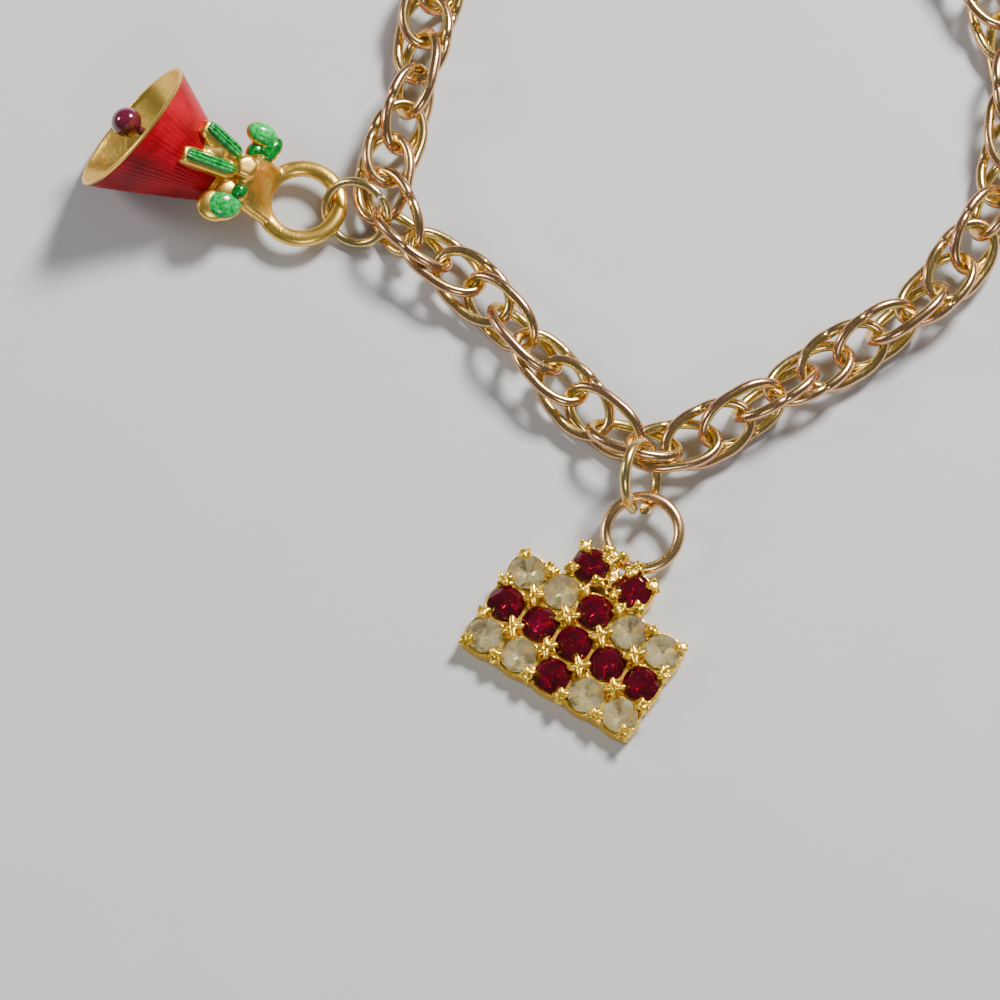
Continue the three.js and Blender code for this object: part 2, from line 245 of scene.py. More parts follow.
def wire_ring(
    radius: float, wire: float, steps: int, sides: int, gap_degrees: float = 0.0
) -> bmesh.types.BMesh:
    """Bend round wire into a ring in the XY plane.

    Args:
        radius: Radius of the ring's centre line.
        wire: Thickness of the wire.
        steps: Number of sections round the ring.
        sides: Number of sides of the wire.
        gap_degrees: Angle of the open gap, centred on +X, or none.

    Returns:
        The closed shape.
    """
    bm = bmesh.new()
    section = Matrix.Translation((radius, 0.0, 0.0)) @ turned_about("X", 90.0)
    closed = gap_degrees <= 0.0
    start = 180.0 / steps if closed else gap_degrees / 2.0
    bmesh.ops.create_circle(
        bm, cap_ends=not closed, segments=sides, radius=wire / 2.0,
        matrix=turned_about("Z", start) @ section)
    sweep = FULL_TURN if closed else FULL_TURN - math.radians(gap_degrees)
    if closed:
        bmesh.ops.spin(
            bm, geom=bm.verts[:] + bm.edges[:], cent=(0, 0, 0), axis=(0, 0, 1),
            angle=sweep, steps=steps, use_merge=True)
    else:
        bmesh.ops.spin(
            bm, geom=bm.faces[:], cent=(0, 0, 0), axis=(0, 0, 1),
            angle=sweep, steps=steps, use_merge=False)
        bmesh.ops.holes_fill(bm, edges=[e for e in bm.edges if e.is_boundary], sides=0)
    tidy_shell(bm)
    return bm


def turned_shape(profile: Sequence[tuple[float, float]], steps: int) -> bmesh.types.BMesh:
    """Turn a profile about the X axis, as on a lathe.

    Args:
        profile: Points as distance along the axis and radius.
        steps: Number of sections round the axis.

    Returns:
        The turned shape.
    """
    bm = bmesh.new()
    verts = [bm.verts.new((along, 0.0, radius)) for along, radius in profile]
    edges = [bm.edges.new(pair) for pair in zip(verts, verts[1:])]
    bmesh.ops.spin(
        bm, geom=verts + edges, cent=(0, 0, 0), axis=(1, 0, 0),
        angle=FULL_TURN, steps=steps, use_merge=True)
    tidy_shell(bm)
    return bm


def add_grain(bm: bmesh.types.BMesh, place: Vector, radius: float) -> None:
    """Add one round grain of metal to a shape that will be fused."""
    bmesh.ops.create_icosphere(
        bm, subdivisions=2, radius=radius, matrix=Matrix.Translation(place))


def add_finger(
    bm: bmesh.types.BMesh, start: Vector, end: Vector, root: float, tip: float
) -> None:
    """Add a tapered finger of metal with a round tip.

    Args:
        bm: Shape that will be fused.
        start: Middle of the thick end.
        end: Middle of the round tip.
        root: Radius at the thick end.
        tip: Radius at the tip.
    """
    direction = end - start
    turn = direction.to_track_quat("Z", "Y").to_matrix().to_4x4()
    placing = Matrix.Translation((start + end) / 2.0) @ turn
    bmesh.ops.create_cone(
        bm, cap_ends=True, segments=12, radius1=root, radius2=tip,
        depth=direction.length, matrix=placing)
    add_grain(bm, end, tip)


def smooth_curve(points: Sequence[tuple[float, float]], steps: int) -> list[tuple[float, float]]:
    """Round off an open run of profile points.

    Args:
        points: Points in the plane.
        steps: Number of parts that each stretch is divided into.

    Returns:
        Points of a smooth curve through the given ones.
    """
    first = Vector(points[0]) * 2.0 - Vector(points[1])
    last = Vector(points[-1]) * 2.0 - Vector(points[-2])
    knots = [first, *map(Vector, points), last]
    curve = []
    for k in range(1, len(knots) - 2):
        for step in range(steps):
            place = spline_point(knots[k - 1:k + 3], step / steps)
            curve.append((place.x, place.y))
    curve.append(tuple(points[-1]))
    return curve


def spline_point(knots: Sequence[Vector], share: float) -> Vector:
    """Give a point of a centripetal spline.

    Args:
        knots: Four points; the curve runs between the middle two.
        share: Share of the way from the second point to the third.

    Returns:
        The point.
    """
    before, start, end, after = knots
    lead = math.sqrt((start - before).length)
    span = math.sqrt((end - start).length)
    tail = math.sqrt((after - end).length)
    leave = ((start - before) / lead - (end - before) / (lead + span)
             + (end - start) / span) * span
    arrive = ((end - start) / span - (after - start) / (span + tail)
              + (after - end) / tail) * span
    square = share * share
    return (start + leave * share
            + (3.0 * (end - start) - 2.0 * leave - arrive) * square
            + (2.0 * (start - end) + leave + arrive) * square * share)


# Node helpers

class NodeBench:
    """Adds and joins the nodes of one node tree."""

    def __init__(self, tree: bpy.types.NodeTree) -> None:
        """Keep the tree that is worked on."""
        self.tree = tree

    def add(self, kind: str, **settings: object) -> bpy.types.Node:
        """Add a node.

        Args:
            kind: The node's type without its "ShaderNode" prefix.
            **settings: Properties to set on the node.

        Returns:
            The node.
        """
        prefix = "" if kind.startswith("NodeGroup") else "ShaderNode"
        node = self.tree.nodes.new(prefix + kind)
        for name, value in settings.items():
            setattr(node, name, value)
        return node

    def join(self, source: bpy.types.NodeSocket, target: bpy.types.NodeSocket) -> None:
        """Join an output to an input."""
        self.tree.links.new(source, target)

    def give(self, socket: bpy.types.NodeSocket, value: object) -> None:
        """Give an input its value, or join it to an output.

        Args:
            socket: Input to fill.
            value: Value or output.
        """
        if isinstance(value, bpy.types.NodeSocket):
            self.join(value, socket)
        else:
            socket.default_value = value

    def feed(self, node: bpy.types.Node, **inputs: object) -> bpy.types.Node:
        """Give a node's inputs their values or sources.

        Args:
            node: Node to feed.
            **inputs: Input names, with _ for a space, and values or outputs.

        Returns:
            The node.
        """
        for name, value in inputs.items():
            self.give(node.inputs[name.replace("_", " ")], value)
        return node

    def noise(self, scale: object, detail: float, vector: object = None) -> bpy.types.NodeSocket:
        """Add a noise pattern.

        Args:
            scale: Scale as a number or an output.
            detail: Number of finer layers.
            vector: Output with the coordinates, or none for the object's.

        Returns:
            The pattern's value.
        """
        node = self.add("TexNoise")
        self.feed(node, Scale=scale, Detail=detail, Roughness=0.6)
        self.join(vector or self.place(), node.inputs["Vector"])
        return node.outputs["Fac"]

    def place(self) -> bpy.types.NodeSocket:
        """Give the object coordinates."""
        return self.add("TexCoord").outputs["Object"]

    def math(self, operation: str, first: object, second: object) -> bpy.types.NodeSocket:
        """Combine two values.

        Args:
            operation: Name of the operation.
            first: Value or output.
            second: Value or output.

        Returns:
            The clamped result.
        """
        node = self.add("Math", operation=operation, use_clamp=True)
        for socket, value in zip(node.inputs, (first, second)):
            self.give(socket, value)
        return node.outputs[0]

    def spread(self, value: bpy.types.NodeSocket, edges: Pair) -> bpy.types.NodeSocket:
        """Stretch a part of a value's range to run softly from 0 to 1.

        Args:
            value: Output to stretch.
            edges: Values that become 0 and 1.

        Returns:
            The stretched value.
        """
        node = self.add("MapRange", interpolation_type="SMOOTHSTEP")
        self.feed(node, Value=value, From_Min=edges[0], From_Max=edges[1])
        return node.outputs["Result"]

    def blend(self, share: object, first: object, second: object) -> bpy.types.NodeSocket:
        """Blend two colours.

        Args:
            share: Share of the second colour.
            first: Colour or output.
            second: Colour or output.

        Returns:
            The blended colour.
        """
        node = self.add("MixRGB")
        for socket, value in zip(node.inputs, (share, first, second)):
            self.give(socket, value)
        return node.outputs[0]


def node_group(
    name: str,
    inputs: Sequence[tuple[str, str, object]],
    outputs: Sequence[tuple[str, str]],
    fill: Callable[[NodeBench, bpy.types.Node, bpy.types.Node], None],
) -> bpy.types.NodeTree:
    """Build a shared shader group once.

    Args:
        name: Name of the group.
        inputs: Socket types, names and default values.
        outputs: Socket types and names.
        fill: Function that adds the nodes between the two ends.

    Returns:
        The group.
    """
    group = bpy.data.node_groups.get(name)
    if group:
        return group
    group = bpy.data.node_groups.new(name, "ShaderNodeTree")
    for kind, label, value in inputs:
        socket = group.interface.new_socket(
            name=label, in_out="INPUT", socket_type="NodeSocket" + kind)
        socket.default_value = value
    for kind, label in outputs:
        group.interface.new_socket(
            name=label, in_out="OUTPUT", socket_type="NodeSocket" + kind)
    bench = NodeBench(group)
    fill(bench, bench.add("NodeGroupInput"), bench.add("NodeGroupOutput"))
    return group


WHITE = (1.0, 1.0, 1.0, 1.0)

# Worn gold: where each pattern begins and is full, and how much it tells
BLOTCH_EDGES = (0.35, 0.68)
SPOT_EDGES = (0.52, 0.72)
SPOTS_PER_BLOTCH = 3.1
SCRATCH_EDGES = (0.6, 0.72)
SCRATCH_TURN = (0.4, 0.7, 0.9)
SCRATCH_SCALE = (9000.0, 500.0, 9000.0)
SCRATCH_DEPTH = 0.35
ROUGHER_WHEN_DULL = 0.25
ROUGHER_IN_SCRATCHES = 0.08
ROUGHER_IN_BLOTCHES = 0.06

# Fired and cut surfaces, in the same way
CLOUD_EDGES = (0.32, 0.7)
PIT_EDGES = (0.68, 0.78)
DUST_IN_PITS = 0.4
PIT_DEPTH = 0.5
ROUGHER_IN_PITS = 0.25
ROUGHER_IN_CLOUDS = 0.05

METAL_BUMP = 0.35
GLOSS_BUMP = 0.25
COAT_ROUGHNESS = 0.04


def fill_worn_metal(
    bench: NodeBench, given: bpy.types.Node, result: bpy.types.Node
) -> None:
    """Draw the wear of handled gold: rosy blotches, dull spots, fine scratches.

    Args:
        bench: Bench of the group.
        given: The group's input node.
        result: The group's output node.
    """
    take = given.outputs
    blotch = bench.spread(bench.noise(take["Blotch Scale"], 3.0), BLOTCH_EDGES)
    rosy = bench.math("MULTIPLY", blotch, take["Rose"])
    outer = bench.math("MULTIPLY", take["Outer"], take["Outer Rose"])
    colour = bench.blend(bench.math("ADD", rosy, outer), take["Bright"], take["Rosy"])
    fine_scale = bench.add("Math", operation="MULTIPLY")
    bench.give(fine_scale.inputs[0], take["Blotch Scale"])
    bench.give(fine_scale.inputs[1], SPOTS_PER_BLOTCH)
    spots = bench.spread(bench.noise(fine_scale.outputs[0], 4.0), SPOT_EDGES)
    dull = bench.math("MULTIPLY", spots, take["Dullness"])
    colour = bench.blend(dull, colour, take["Dull"])
    stretch = bench.feed(
        bench.add("Mapping"), Vector=bench.place(), Rotation=SCRATCH_TURN,
        Scale=SCRATCH_SCALE)
    lines = bench.noise(1.0, 1.0, stretch.outputs["Vector"])
    scratches = bench.spread(lines, SCRATCH_EDGES)
    grain = bench.noise(take["Grain Scale"], 2.0)
    height = bench.math("SUBTRACT", grain, bench.math("MULTIPLY", scratches, SCRATCH_DEPTH))
    rough = take["Smoothness"]
    for wear, share in ((dull, ROUGHER_WHEN_DULL), (scratches, ROUGHER_IN_SCRATCHES),
                        (blotch, ROUGHER_IN_BLOTCHES)):
        rough = bench.math("ADD", rough, bench.math("MULTIPLY", wear, share))
    bench.feed(result, Colour=colour, Roughness=rough, Height=height)


def worn_metal_group() -> bpy.types.NodeTree:
    """Give the shared group of worn gold."""
    return node_group(
        "worn metal",
        [("Color", "Bright", WHITE), ("Color", "Rosy", WHITE), ("Color", "Dull", WHITE),
         ("Float", "Outer", 0.0), ("Float", "Outer Rose", 0.0), ("Float", "Rose", 0.5),
         ("Float", "Dullness", 0.3), ("Float", "Smoothness", 0.2),
         ("Float", "Blotch Scale", 400.0), ("Float", "Grain Scale", 6000.0)],
        [("Color", "Colour"), ("Float", "Roughness"), ("Float", "Height")],
        fill_worn_metal)


def fill_fired_surface(
    bench: NodeBench, given: bpy.types.Node, result: bpy.types.Node
) -> None:
    """Draw cloudy depth, small pits and dust of a fired or cut surface.

    Args:
        bench: Bench of the group.
        given: The group's input node.
        result: The group's output node.
    """
    take = given.outputs
    clouds = bench.spread(bench.noise(take["Cloud Scale"], 4.0), CLOUD_EDGES)
    colour = bench.blend(clouds, take["Deep"], take["Light"])
    pits = bench.spread(bench.noise(take["Pit Scale"], 1.0), PIT_EDGES)
    dusty = bench.math("MULTIPLY", pits, DUST_IN_PITS)
    colour = bench.blend(dusty, colour, take["Dust"])
    rough = take["Smoothness"]
    for mark, share in ((pits, ROUGHER_IN_PITS), (clouds, ROUGHER_IN_CLOUDS)):
        rough = bench.math("ADD", rough, bench.math("MULTIPLY", mark, share))
    height = bench.math("SUBTRACT", clouds, bench.math("MULTIPLY", pits, PIT_DEPTH))
    bench.feed(result, Colour=colour, Roughness=rough, Height=height)


def fired_surface_group() -> bpy.types.NodeTree:
    """Give the shared group of enamel, glass, foil and lacquer."""
    return node_group(
        "fired surface",
        [("Color", "Deep", WHITE), ("Color", "Light", WHITE), ("Color", "Dust", WHITE),
         ("Float", "Smoothness", 0.05), ("Float", "Cloud Scale", 900.0),
         ("Float", "Pit Scale", 3000.0)],
        [("Color", "Colour"), ("Float", "Roughness"), ("Float", "Height")],
        fill_fired_surface)


def bare_material(name: str) -> tuple[bpy.types.Material, NodeBench, bpy.types.Node]:
    """Start a node material.

    Args:
        name: Name of the material.

    Returns:
        The material, the bench of its tree and its Principled shader.
    """
    material = bpy.data.materials.new(name)
    material.use_nodes = True
    bench = NodeBench(material.node_tree)
    shader = next(n for n in material.node_tree.nodes if n.type == "BSDF_PRINCIPLED")
    return material, bench, shader


def join_surface(
    bench: NodeBench, source: bpy.types.Node, shader: bpy.types.Node,
    strength: float, relief: float,
) -> None:
    """Join a group's colour, roughness and height to the shader.

    Args:
        bench: Bench of the material.
        source: Group node with Colour, Roughness and Height.
        shader: Principled shader.
        strength: Strength of the relief.
        relief: Depth of the relief in millimetres.
    """
    bump = bench.feed(
        bench.add("Bump"), Strength=strength, Distance=relief * MM,
        Height=source.outputs["Height"])
    bench.feed(
        shader, Base_Color=source.outputs["Colour"],
        Roughness=source.outputs["Roughness"], Normal=bump.outputs["Normal"])


@dataclass(frozen=True)
class GoldFinish:
    """Handled gold: its colours, blotches and polish."""

    name: str
    bright: Colour
    rosy: Colour
    dull: Colour
    smoothness: float = 0.18
    rose: float = 0.5
    outer_rose: float = 0.0
    dullness: float = 0.3
    blotch_scale: float = 420.0
    grain_scale: float = 7000.0
    relief: float = 0.012

    def material(self, from_links: bool = False) -> bpy.types.Material:
        """Make the material.

        Args:
            from_links: Whether the mesh says how far out each point of a link
                lies and how rosy the link is.

        Returns:
            The material.
        """
        material, bench, shader = bare_material(self.name)
        wear = bench.add("Group", node_tree=worn_metal_group())
        bench.feed(
            wear, Bright=self.bright, Rosy=self.rosy, Dull=self.dull,
            Outer_Rose=self.outer_rose, Rose=self.rose, Dullness=self.dullness,
            Smoothness=self.smoothness, Blotch_Scale=self.blotch_scale,
            Grain_Scale=self.grain_scale)
        if from_links:
            outer = bench.add("Attribute", attribute_name="outer")
            bench.join(outer.outputs["Fac"], wear.inputs["Outer"])
            tone = bench.add("Attribute", attribute_name="tone")
            rose = bench.math("MULTIPLY", tone.outputs["Fac"], self.rose)
            bench.join(rose, wear.inputs["Rose"])
        join_surface(bench, wear, shader, METAL_BUMP, self.relief)
        bench.feed(shader, Metallic=1.0)
        return material


@dataclass(frozen=True)
class GlossFinish:
    """Enamel, lacquer, cut glass or the foil behind it."""

    name: str
    deep: Colour
    light: Colour
    dust: Colour = (0.6, 0.5, 0.4, 1.0)
    smoothness: float = 0.08
    metallic: float = 0.0
    coat: float = 0.0
    transmission: float = 0.0
    refraction: float = 1.5
    specular: float = 0.5
    cloud_scale: float = 900.0
    pit_scale: float = 3200.0
    relief: float = 0.01
    # Lit colour that a high tone runs to: a painted highlight, with a low tone painted as shade.
    pale: Colour | None = None

    def material(self) -> bpy.types.Material:
        """Make the material; one with a pale colour reads each point's tone, by which highlight
        and shade are painted on.
        """
        material, bench, shader = bare_material(self.name)
        surface = bench.add("Group", node_tree=fired_surface_group())
        bench.feed(
            surface, Deep=self.deep, Light=self.light, Dust=self.dust,
            Smoothness=self.smoothness, Cloud_Scale=self.cloud_scale,
            Pit_Scale=self.pit_scale)
        if self.pale:
            tone = bench.add("Attribute", attribute_name="tone").outputs["Fac"]
            bench.feed(
                surface, Deep=bench.blend(tone, self.deep, self.light),
                Light=bench.blend(tone, self.light, self.pale))
        join_surface(bench, surface, shader, GLOSS_BUMP, self.relief)
        bench.feed(
            shader, Metallic=self.metallic, IOR=self.refraction,
            Specular_IOR_Level=self.specular, Coat_Weight=self.coat,
            Coat_Roughness=COAT_ROUGHNESS, Transmission_Weight=self.transmission)
        return material


CHAIN_GOLD = GoldFinish(
    "chain gold", bright=(0.84, 0.66, 0.19, 1), rosy=(0.70, 0.35, 0.21, 1),
    dull=(0.30, 0.23, 0.05, 1), rose=0.4, outer_rose=0.75, dullness=0.4)
CLASP_GOLD = GoldFinish(
    "clasp gold", bright=(0.87, 0.66, 0.25, 1), rosy=(0.70, 0.42, 0.22, 1),
    dull=(0.42, 0.31, 0.10, 1), rose=0.4)
SETTING_GOLD = GoldFinish(
    "setting gold", bright=(1.0, 0.66, 0.07, 1), rosy=(0.92, 0.42, 0.05, 1),
    dull=(0.60, 0.33, 0.02, 1), rose=0.3, dullness=0.4, smoothness=0.26,
    blotch_scale=900.0, grain_scale=4200.0, relief=0.05)
RING_GOLD = GoldFinish(
    "charm ring gold", bright=(0.84, 0.56, 0.24, 1), rosy=(0.68, 0.36, 0.19, 1),
    dull=(0.42, 0.25, 0.09, 1), rose=0.75, smoothness=0.22)
JUMP_RING_GOLD = GoldFinish(
    "jump ring gold", bright=(0.80, 0.60, 0.22, 1), rosy=(0.64, 0.36, 0.20, 1),
    dull=(0.34, 0.26, 0.07, 1), rose=0.6, dullness=0.4, smoothness=0.22)
CASTING_GOLD = GoldFinish(
    "casting gold", bright=(1.0, 0.66, 0.13, 1), rosy=(0.92, 0.42, 0.10, 1),
    dull=(0.72, 0.38, 0.05, 1), rose=0.5, dullness=0.35, smoothness=0.28,
    grain_scale=4200.0, relief=0.03)

CLEAR_GLASS = GlossFinish(
    "clear stone", deep=(0.94, 0.88, 0.66, 1), light=(1.0, 0.98, 0.86, 1),
    dust=(1.0, 0.84, 0.42, 1), smoothness=0.01, transmission=0.97, refraction=1.5,
    cloud_scale=1500.0, relief=0.001)
# By their tone the foil's facets run from near black to near white: painted reflections and
# glints.
CLEAR_FOIL = GlossFinish(
    "pale foil", deep=(0.05, 0.035, 0.01, 1), light=(0.95, 0.80, 0.38, 1),
    dust=(1.0, 0.76, 0.24, 1), smoothness=0.12, metallic=0.5, cloud_scale=1500.0,
    relief=0.01, pale=(1.0, 1.0, 0.88, 1))
# By their tone the red crown facets run from dark red to bright magenta: painted glints.
RED_GLASS = GlossFinish(
    "red stone", deep=(0.06, 0.0, 0.003, 1), light=(0.20, 0.0, 0.016, 1),
    dust=(0.4, 0.05, 0.08, 1), smoothness=0.01, transmission=0.82, refraction=1.55,
    cloud_scale=1200.0, relief=0.002, pale=(0.46, 0.002, 0.06, 1))
RED_FOIL = GlossFinish(
    "red foil", deep=(0.5, 0.12, 0.22, 1), light=(0.95, 0.4, 0.6, 1),
    dust=(0.8, 0.4, 0.4, 1), smoothness=0.12, metallic=1.0, cloud_scale=2200.0,
    relief=0.02)
RED_ENAMEL = GlossFinish(
    "red enamel", deep=(0.24, 0.0, 0.004, 1), light=(0.50, 0.0, 0.014, 1),
    dust=(0.5, 0.02, 0.03, 1), smoothness=0.34, coat=0.1, specular=0.1,
    cloud_scale=260.0, relief=0.01)
# Pale green is painted highlight on the lit lobes and ridge crests; the deep green is painted
# shade.
GREEN_ENAMEL = GlossFinish(
    "green enamel", deep=(0.0, 0.05, 0.005, 1), light=(0.0, 0.24, 0.02, 1),
    dust=(0.1, 0.7, 0.24, 1), smoothness=0.14, coat=0.8, specular=0.2,
    cloud_scale=2600.0, relief=0.02, pale=(0.02, 0.80, 0.17, 1))
CLAPPER_LACQUER = GlossFinish(
    "clapper lacquer", deep=(0.05, 0.002, 0.012, 1), light=(0.14, 0.006, 0.03, 1),
    dust=(0.3, 0.08, 0.12, 1), smoothness=0.08, coat=1.0, cloud_scale=500.0)


# Chain

@dataclass
class Route:
    """Closed centre line of the chain, measured along its length."""

    stretch: Sequence[tuple[float, float]] = (
        (-6.5, 47.7), (-7.1, 44.9), (-7.6, 40.4), (-9.6, 33.9),
        (-10.8, 29.0), (-9.0, 25.4), (-5.3, 22.6), (-0.9, 18.4),
        (4.1, 12.7), (8.0, 8.0), (11.6, 4.9), (15.4, 4.3),
        (20.0, 6.2), (26.0, 10.1), (29.9, 12.5), (34.1, 15.0),
    )
    arc_centre: tuple[float, float] = (19.6, 38.6)
    arc_radius: float = 27.7
    arc_start: float = -58.4
    arc_sweep: float = 219.2
    arc_points: int = 11
    height: float = 2.24
    divisions: int = 2000
    reach: float = 3.0
    samples: list[Vector] = field(default_factory=list)
    lengths: list[float] = field(default_factory=list)

    def __post_init__(self) -> None:
        """Measure the line once."""
        knots = [Vector((x, y, self.height)) for x, y in self.stretch]
        for step in range(1, self.arc_points):
            angle = math.radians(self.arc_start + self.arc_sweep * step / self.arc_points)
            knots.append(Vector((
                self.arc_centre[0] + self.arc_radius * math.cos(angle),
                self.arc_centre[1] + self.arc_radius * math.sin(angle),
                self.height)))
        count = len(knots)
        for step in range(self.divisions + 1):
            place = count * step / self.divisions
            first = int(place)
            around = [knots[(first + k) % count] for k in (-1, 0, 1, 2)]
            self.samples.append(spline_point(around, place - first))
        self.lengths.append(0.0)
        for before, after in zip(self.samples, self.samples[1:]):
            self.lengths.append(self.lengths[-1] + (after - before).length)

    @property
    def total(self) -> float:
        """Length of the whole line."""
        return self.lengths[-1]

    def at(self, length: float) -> Vector:
        """Give the point at a length along the line.

        Args:
            length: Length from the first point, which may pass the end.

        Returns:
            The point.
        """
        length %= self.total
        low, high = 0, self.divisions
        while high - low > 1:
            middle = (low + high) // 2
            if self.lengths[middle] <= length:
                low = middle
            else:
                high = middle
        span = self.lengths[high] - self.lengths[low]
        return self.samples[low].lerp(self.samples[high], (length - self.lengths[low]) / span)

    def placing(self, length: float) -> Matrix:
        """Give the level frame at a length: X along the line, Z up.

        Args:
            length: Length along the line.

        Returns:
            The frame's matrix.
        """
        along = (self.at(length + self.reach) - self.at(length - self.reach)).normalized()
        up = Vector((0.0, 0.0, 1.0))
        return basis(along, up.cross(along), up, self.at(length))


@dataclass(frozen=True)
class Nudge:
    """Small shift and turn by which a link lies off its even place."""

    along: float = 0.0
    side: float = 0.0
    up: float = 0.0
    lean: float = 0.0
    yaw: float = 0.0
    pitch: float = 0.0

    def placing(self, lean: float) -> Matrix:
        """Give the link's place in the level frame of its even place.

        Args:
            lean: Even lean of the link in degrees.

        Returns:
            The matrix.
        """
        return (Matrix.Translation((self.along, self.side, self.up))
                @ turned_about("Z", self.yaw) @ turned_about("Y", self.pitch)
                @ turned_about("X", lean + self.lean))


# Shifts and turns that keep the round wires clear of each other: the four
# links of one lay, then the links of the two tight bends. They come from a
# fit made outside this script.
LAY_NUDGES = (
    Nudge(side=0.03, up=0.05, lean=-1.5), Nudge(up=0.06, lean=0.95),
    Nudge(up=0.03, lean=-0.2), Nudge())
BEND_NUDGES = {
    11: Nudge(0.04, 0.02, 0.03, 0.3, 0.1, -0.5),
    12: Nudge(0.05, -0.13, 0.07, -0.8, -0.5, -0.7),
    13: Nudge(0.08, -0.1, 0.08, 0.5, 0.0, -0.1),
    14: Nudge(0.14, -0.08, 0.26, -2.1, -1.3, -3.9),
    15: Nudge(0.09, -0.03, -0.06, -3.4, -0.6, 2.7),
    16: Nudge(0.11, 0.56, -0.07, -6.0, 1.1, 1.2),
    17: Nudge(-0.11, 0.1, 0.15, 0.6, -0.3, 1.2),
    18: Nudge(-0.06, -0.05, 0.05, -0.2, 0.2, 0.4),
    21: Nudge(0.09, -0.03, 0.05, 1.4, -0.3, 0.3),
    22: Nudge(0.09, -0.02, 0.06, -0.3, -0.1, -0.5),
    23: Nudge(0.18, -0.16, -0.13, 0.8, -1.5, 2.6),
    24: Nudge(0.16, 0.25, 0.02, -2.6, 0.8, 0.6),
    25: Nudge(-0.03, 0.24, 0.18, 6.6, 2.3, -1.5),
    26: Nudge(-0.01, 0.0, 0.2, 4.0, 0.1, 0.8),
    27: Nudge(-0.12, -0.01, -0.11, 0.7, 0.2, -1.7),
    28: Nudge(-0.06, 0.01, 0.06, -1.2, -0.1, -0.2),
}


@dataclass
class RopeChain:
    """Rope of oval links, each through the two before and the two after it."""

    route: Route
    length: float = 9.3
    width: float = 5.7
    wire: float = 0.98
    roundness: float = 0.7
    pitch: float = 3.6
    junction_pitch: float = 3.33
    count: int = 49
    upper_count: int = 21
    first_start: float = -36.55
    leans: Sequence[float] = (50.0, 130.0, 160.0, 20.0)
    steps: int = 48
    sides: int = 16
    joint_reach: float = 0.4
    joint_width: float = 0.05
    joint_depth: float = 0.12
    cut_tolerance: float = 1e-5
    groove_tolerance: float = 1e-3
    tones: Pair = (0.3, 1.0)
    seed: int = 7

    def start(self, index: int) -> float:
        """Give the length along the route at a link's middle.

        Args:
            index: Number of the link.

        Returns:
            The length in millimetres.
        """
        start = self.first_start + index * self.pitch
        if index < self.upper_count:
            return start
        return start - self.pitch + self.junction_pitch

    def link(self, joint_at: float, joint_side: int) -> bmesh.types.BMesh:
        """Form one link along X with a fine butt joint in one long side.

        Args:
            joint_at: Place of the joint along the link.
            joint_side: Side of the joint, 1 or -1.

        Returns:
            The link.
        """
        radius = (self.width - self.wire) / 2.0
        bm = wire_ring(radius, self.wire, self.steps, self.sides)
        outer = bm.verts.layers.float.new("outer")
        pull = (self.length - self.width) / 2.0
        for vert in bm.verts:
            reach = math.hypot(vert.co.x, vert.co.y)
            vert[outer] = 0.5 + (reach - radius) / self.wire
            curved = self.roundness * vert.co.x / reach
            straight = math.copysign(1.0 - self.roundness, vert.co.x)
            vert.co.x += pull * (curved + straight)
        for offset in (-self.joint_width, 0.0, self.joint_width):
            side = [e for e in bm.edges if e.verts[0].co.y * joint_side > 0.0]
            faces = [f for f in bm.faces if f.calc_center_median().y * joint_side > 0.0]
            verts = [v for v in bm.verts if v.co.y * joint_side > 0.0]
            bmesh.ops.bisect_plane(
                bm, geom=verts + side + faces, dist=self.cut_tolerance,
                plane_co=(joint_at + offset, 0, 0), plane_no=(1, 0, 0))
        groove = [v for v in bm.verts if v.co.y * joint_side > 0.0
                  and abs(v.co.x - joint_at) < self.groove_tolerance]
        middle = Vector((joint_at, joint_side * radius, 0.0))
        shrink = Matrix.Scale(1.0 - self.joint_depth, 4)
        bmesh.ops.transform(
            bm, matrix=Matrix.Translation(middle) @ shrink @ Matrix.Translation(-middle),
            verts=groove)
        return bm

    def link_placing(self, index: int) -> Matrix:
        """Give the place of a link in the drawing.

        Args:
            index: Number of the link.

        Returns:
            The matrix.
        """
        phase = index % len(self.leans)
        nudge = BEND_NUDGES.get(index, LAY_NUDGES[phase])
        return self.route.placing(self.start(index)) @ nudge.placing(self.leans[phase])

    def build(self, name: str, node: str, first: int, last: int) -> bpy.types.Object:
        """Make a run of links.

        Args:
            name: Name of the piece.
            node: CAD node that it stands for.
            first: First link.
            last: Link after the last one.

        Returns:
            The piece.
        """
        draw = random.Random(self.seed + first)
        whole = bmesh.new()
        outer = whole.verts.layers.float.new("outer")
        tone = whole.verts.layers.float.new("tone")
        for index in range(first, last):
            joint_at = draw.uniform(-self.joint_reach, self.joint_reach)
            link = self.link(joint_at, draw.choice((-1, 1)))
            far_out_of = link.verts.layers.float["outer"]
            outward = [v[far_out_of] for v in link.verts]
            added = append_shape(whole, link)
            bmesh.ops.transform(whole, matrix=self.link_placing(index), verts=added)
            link_tone = draw.uniform(*self.tones)
            for vert, far_out in zip(added, outward):
                vert[outer] = far_out
                vert[tone] = link_tone
        material = CHAIN_GOLD.material(from_links=True)
        return piece_from(whole, name, [material], [node], 60.0)

    def build_all(self) -> None:
        """Make both runs of the chain."""
        self.build("upper_chain_links", "chain_upper", 0, self.upper_count)
        self.build("lower_chain_links", "chain_lower", self.upper_count, self.count)


@dataclass
class ClaspRing:
    """Plain ring that joins the two ends of the chain."""

    chain: RopeChain
    diameter: float = 8.0
    wire: float = 1.5
    lean: float = -20.0

    def build(self) -> bpy.types.Object:
        """Make the ring between the last link and the first."""
        ring = wire_ring((self.diameter - self.wire) / 2.0, self.wire, 72, 24)
        route = self.chain.route
        last = self.chain.start(self.chain.count - 1)
        middle = (last + self.chain.start(0) + route.total) / 2.0
        placing = route.placing(middle) @ turned_about("X", self.lean)
        bmesh.ops.transform(ring, matrix=placing, verts=ring.verts[:])
        return piece_from(
            ring, "plain_clasp_ring", [CLASP_GOLD.material()], ["clasp"])


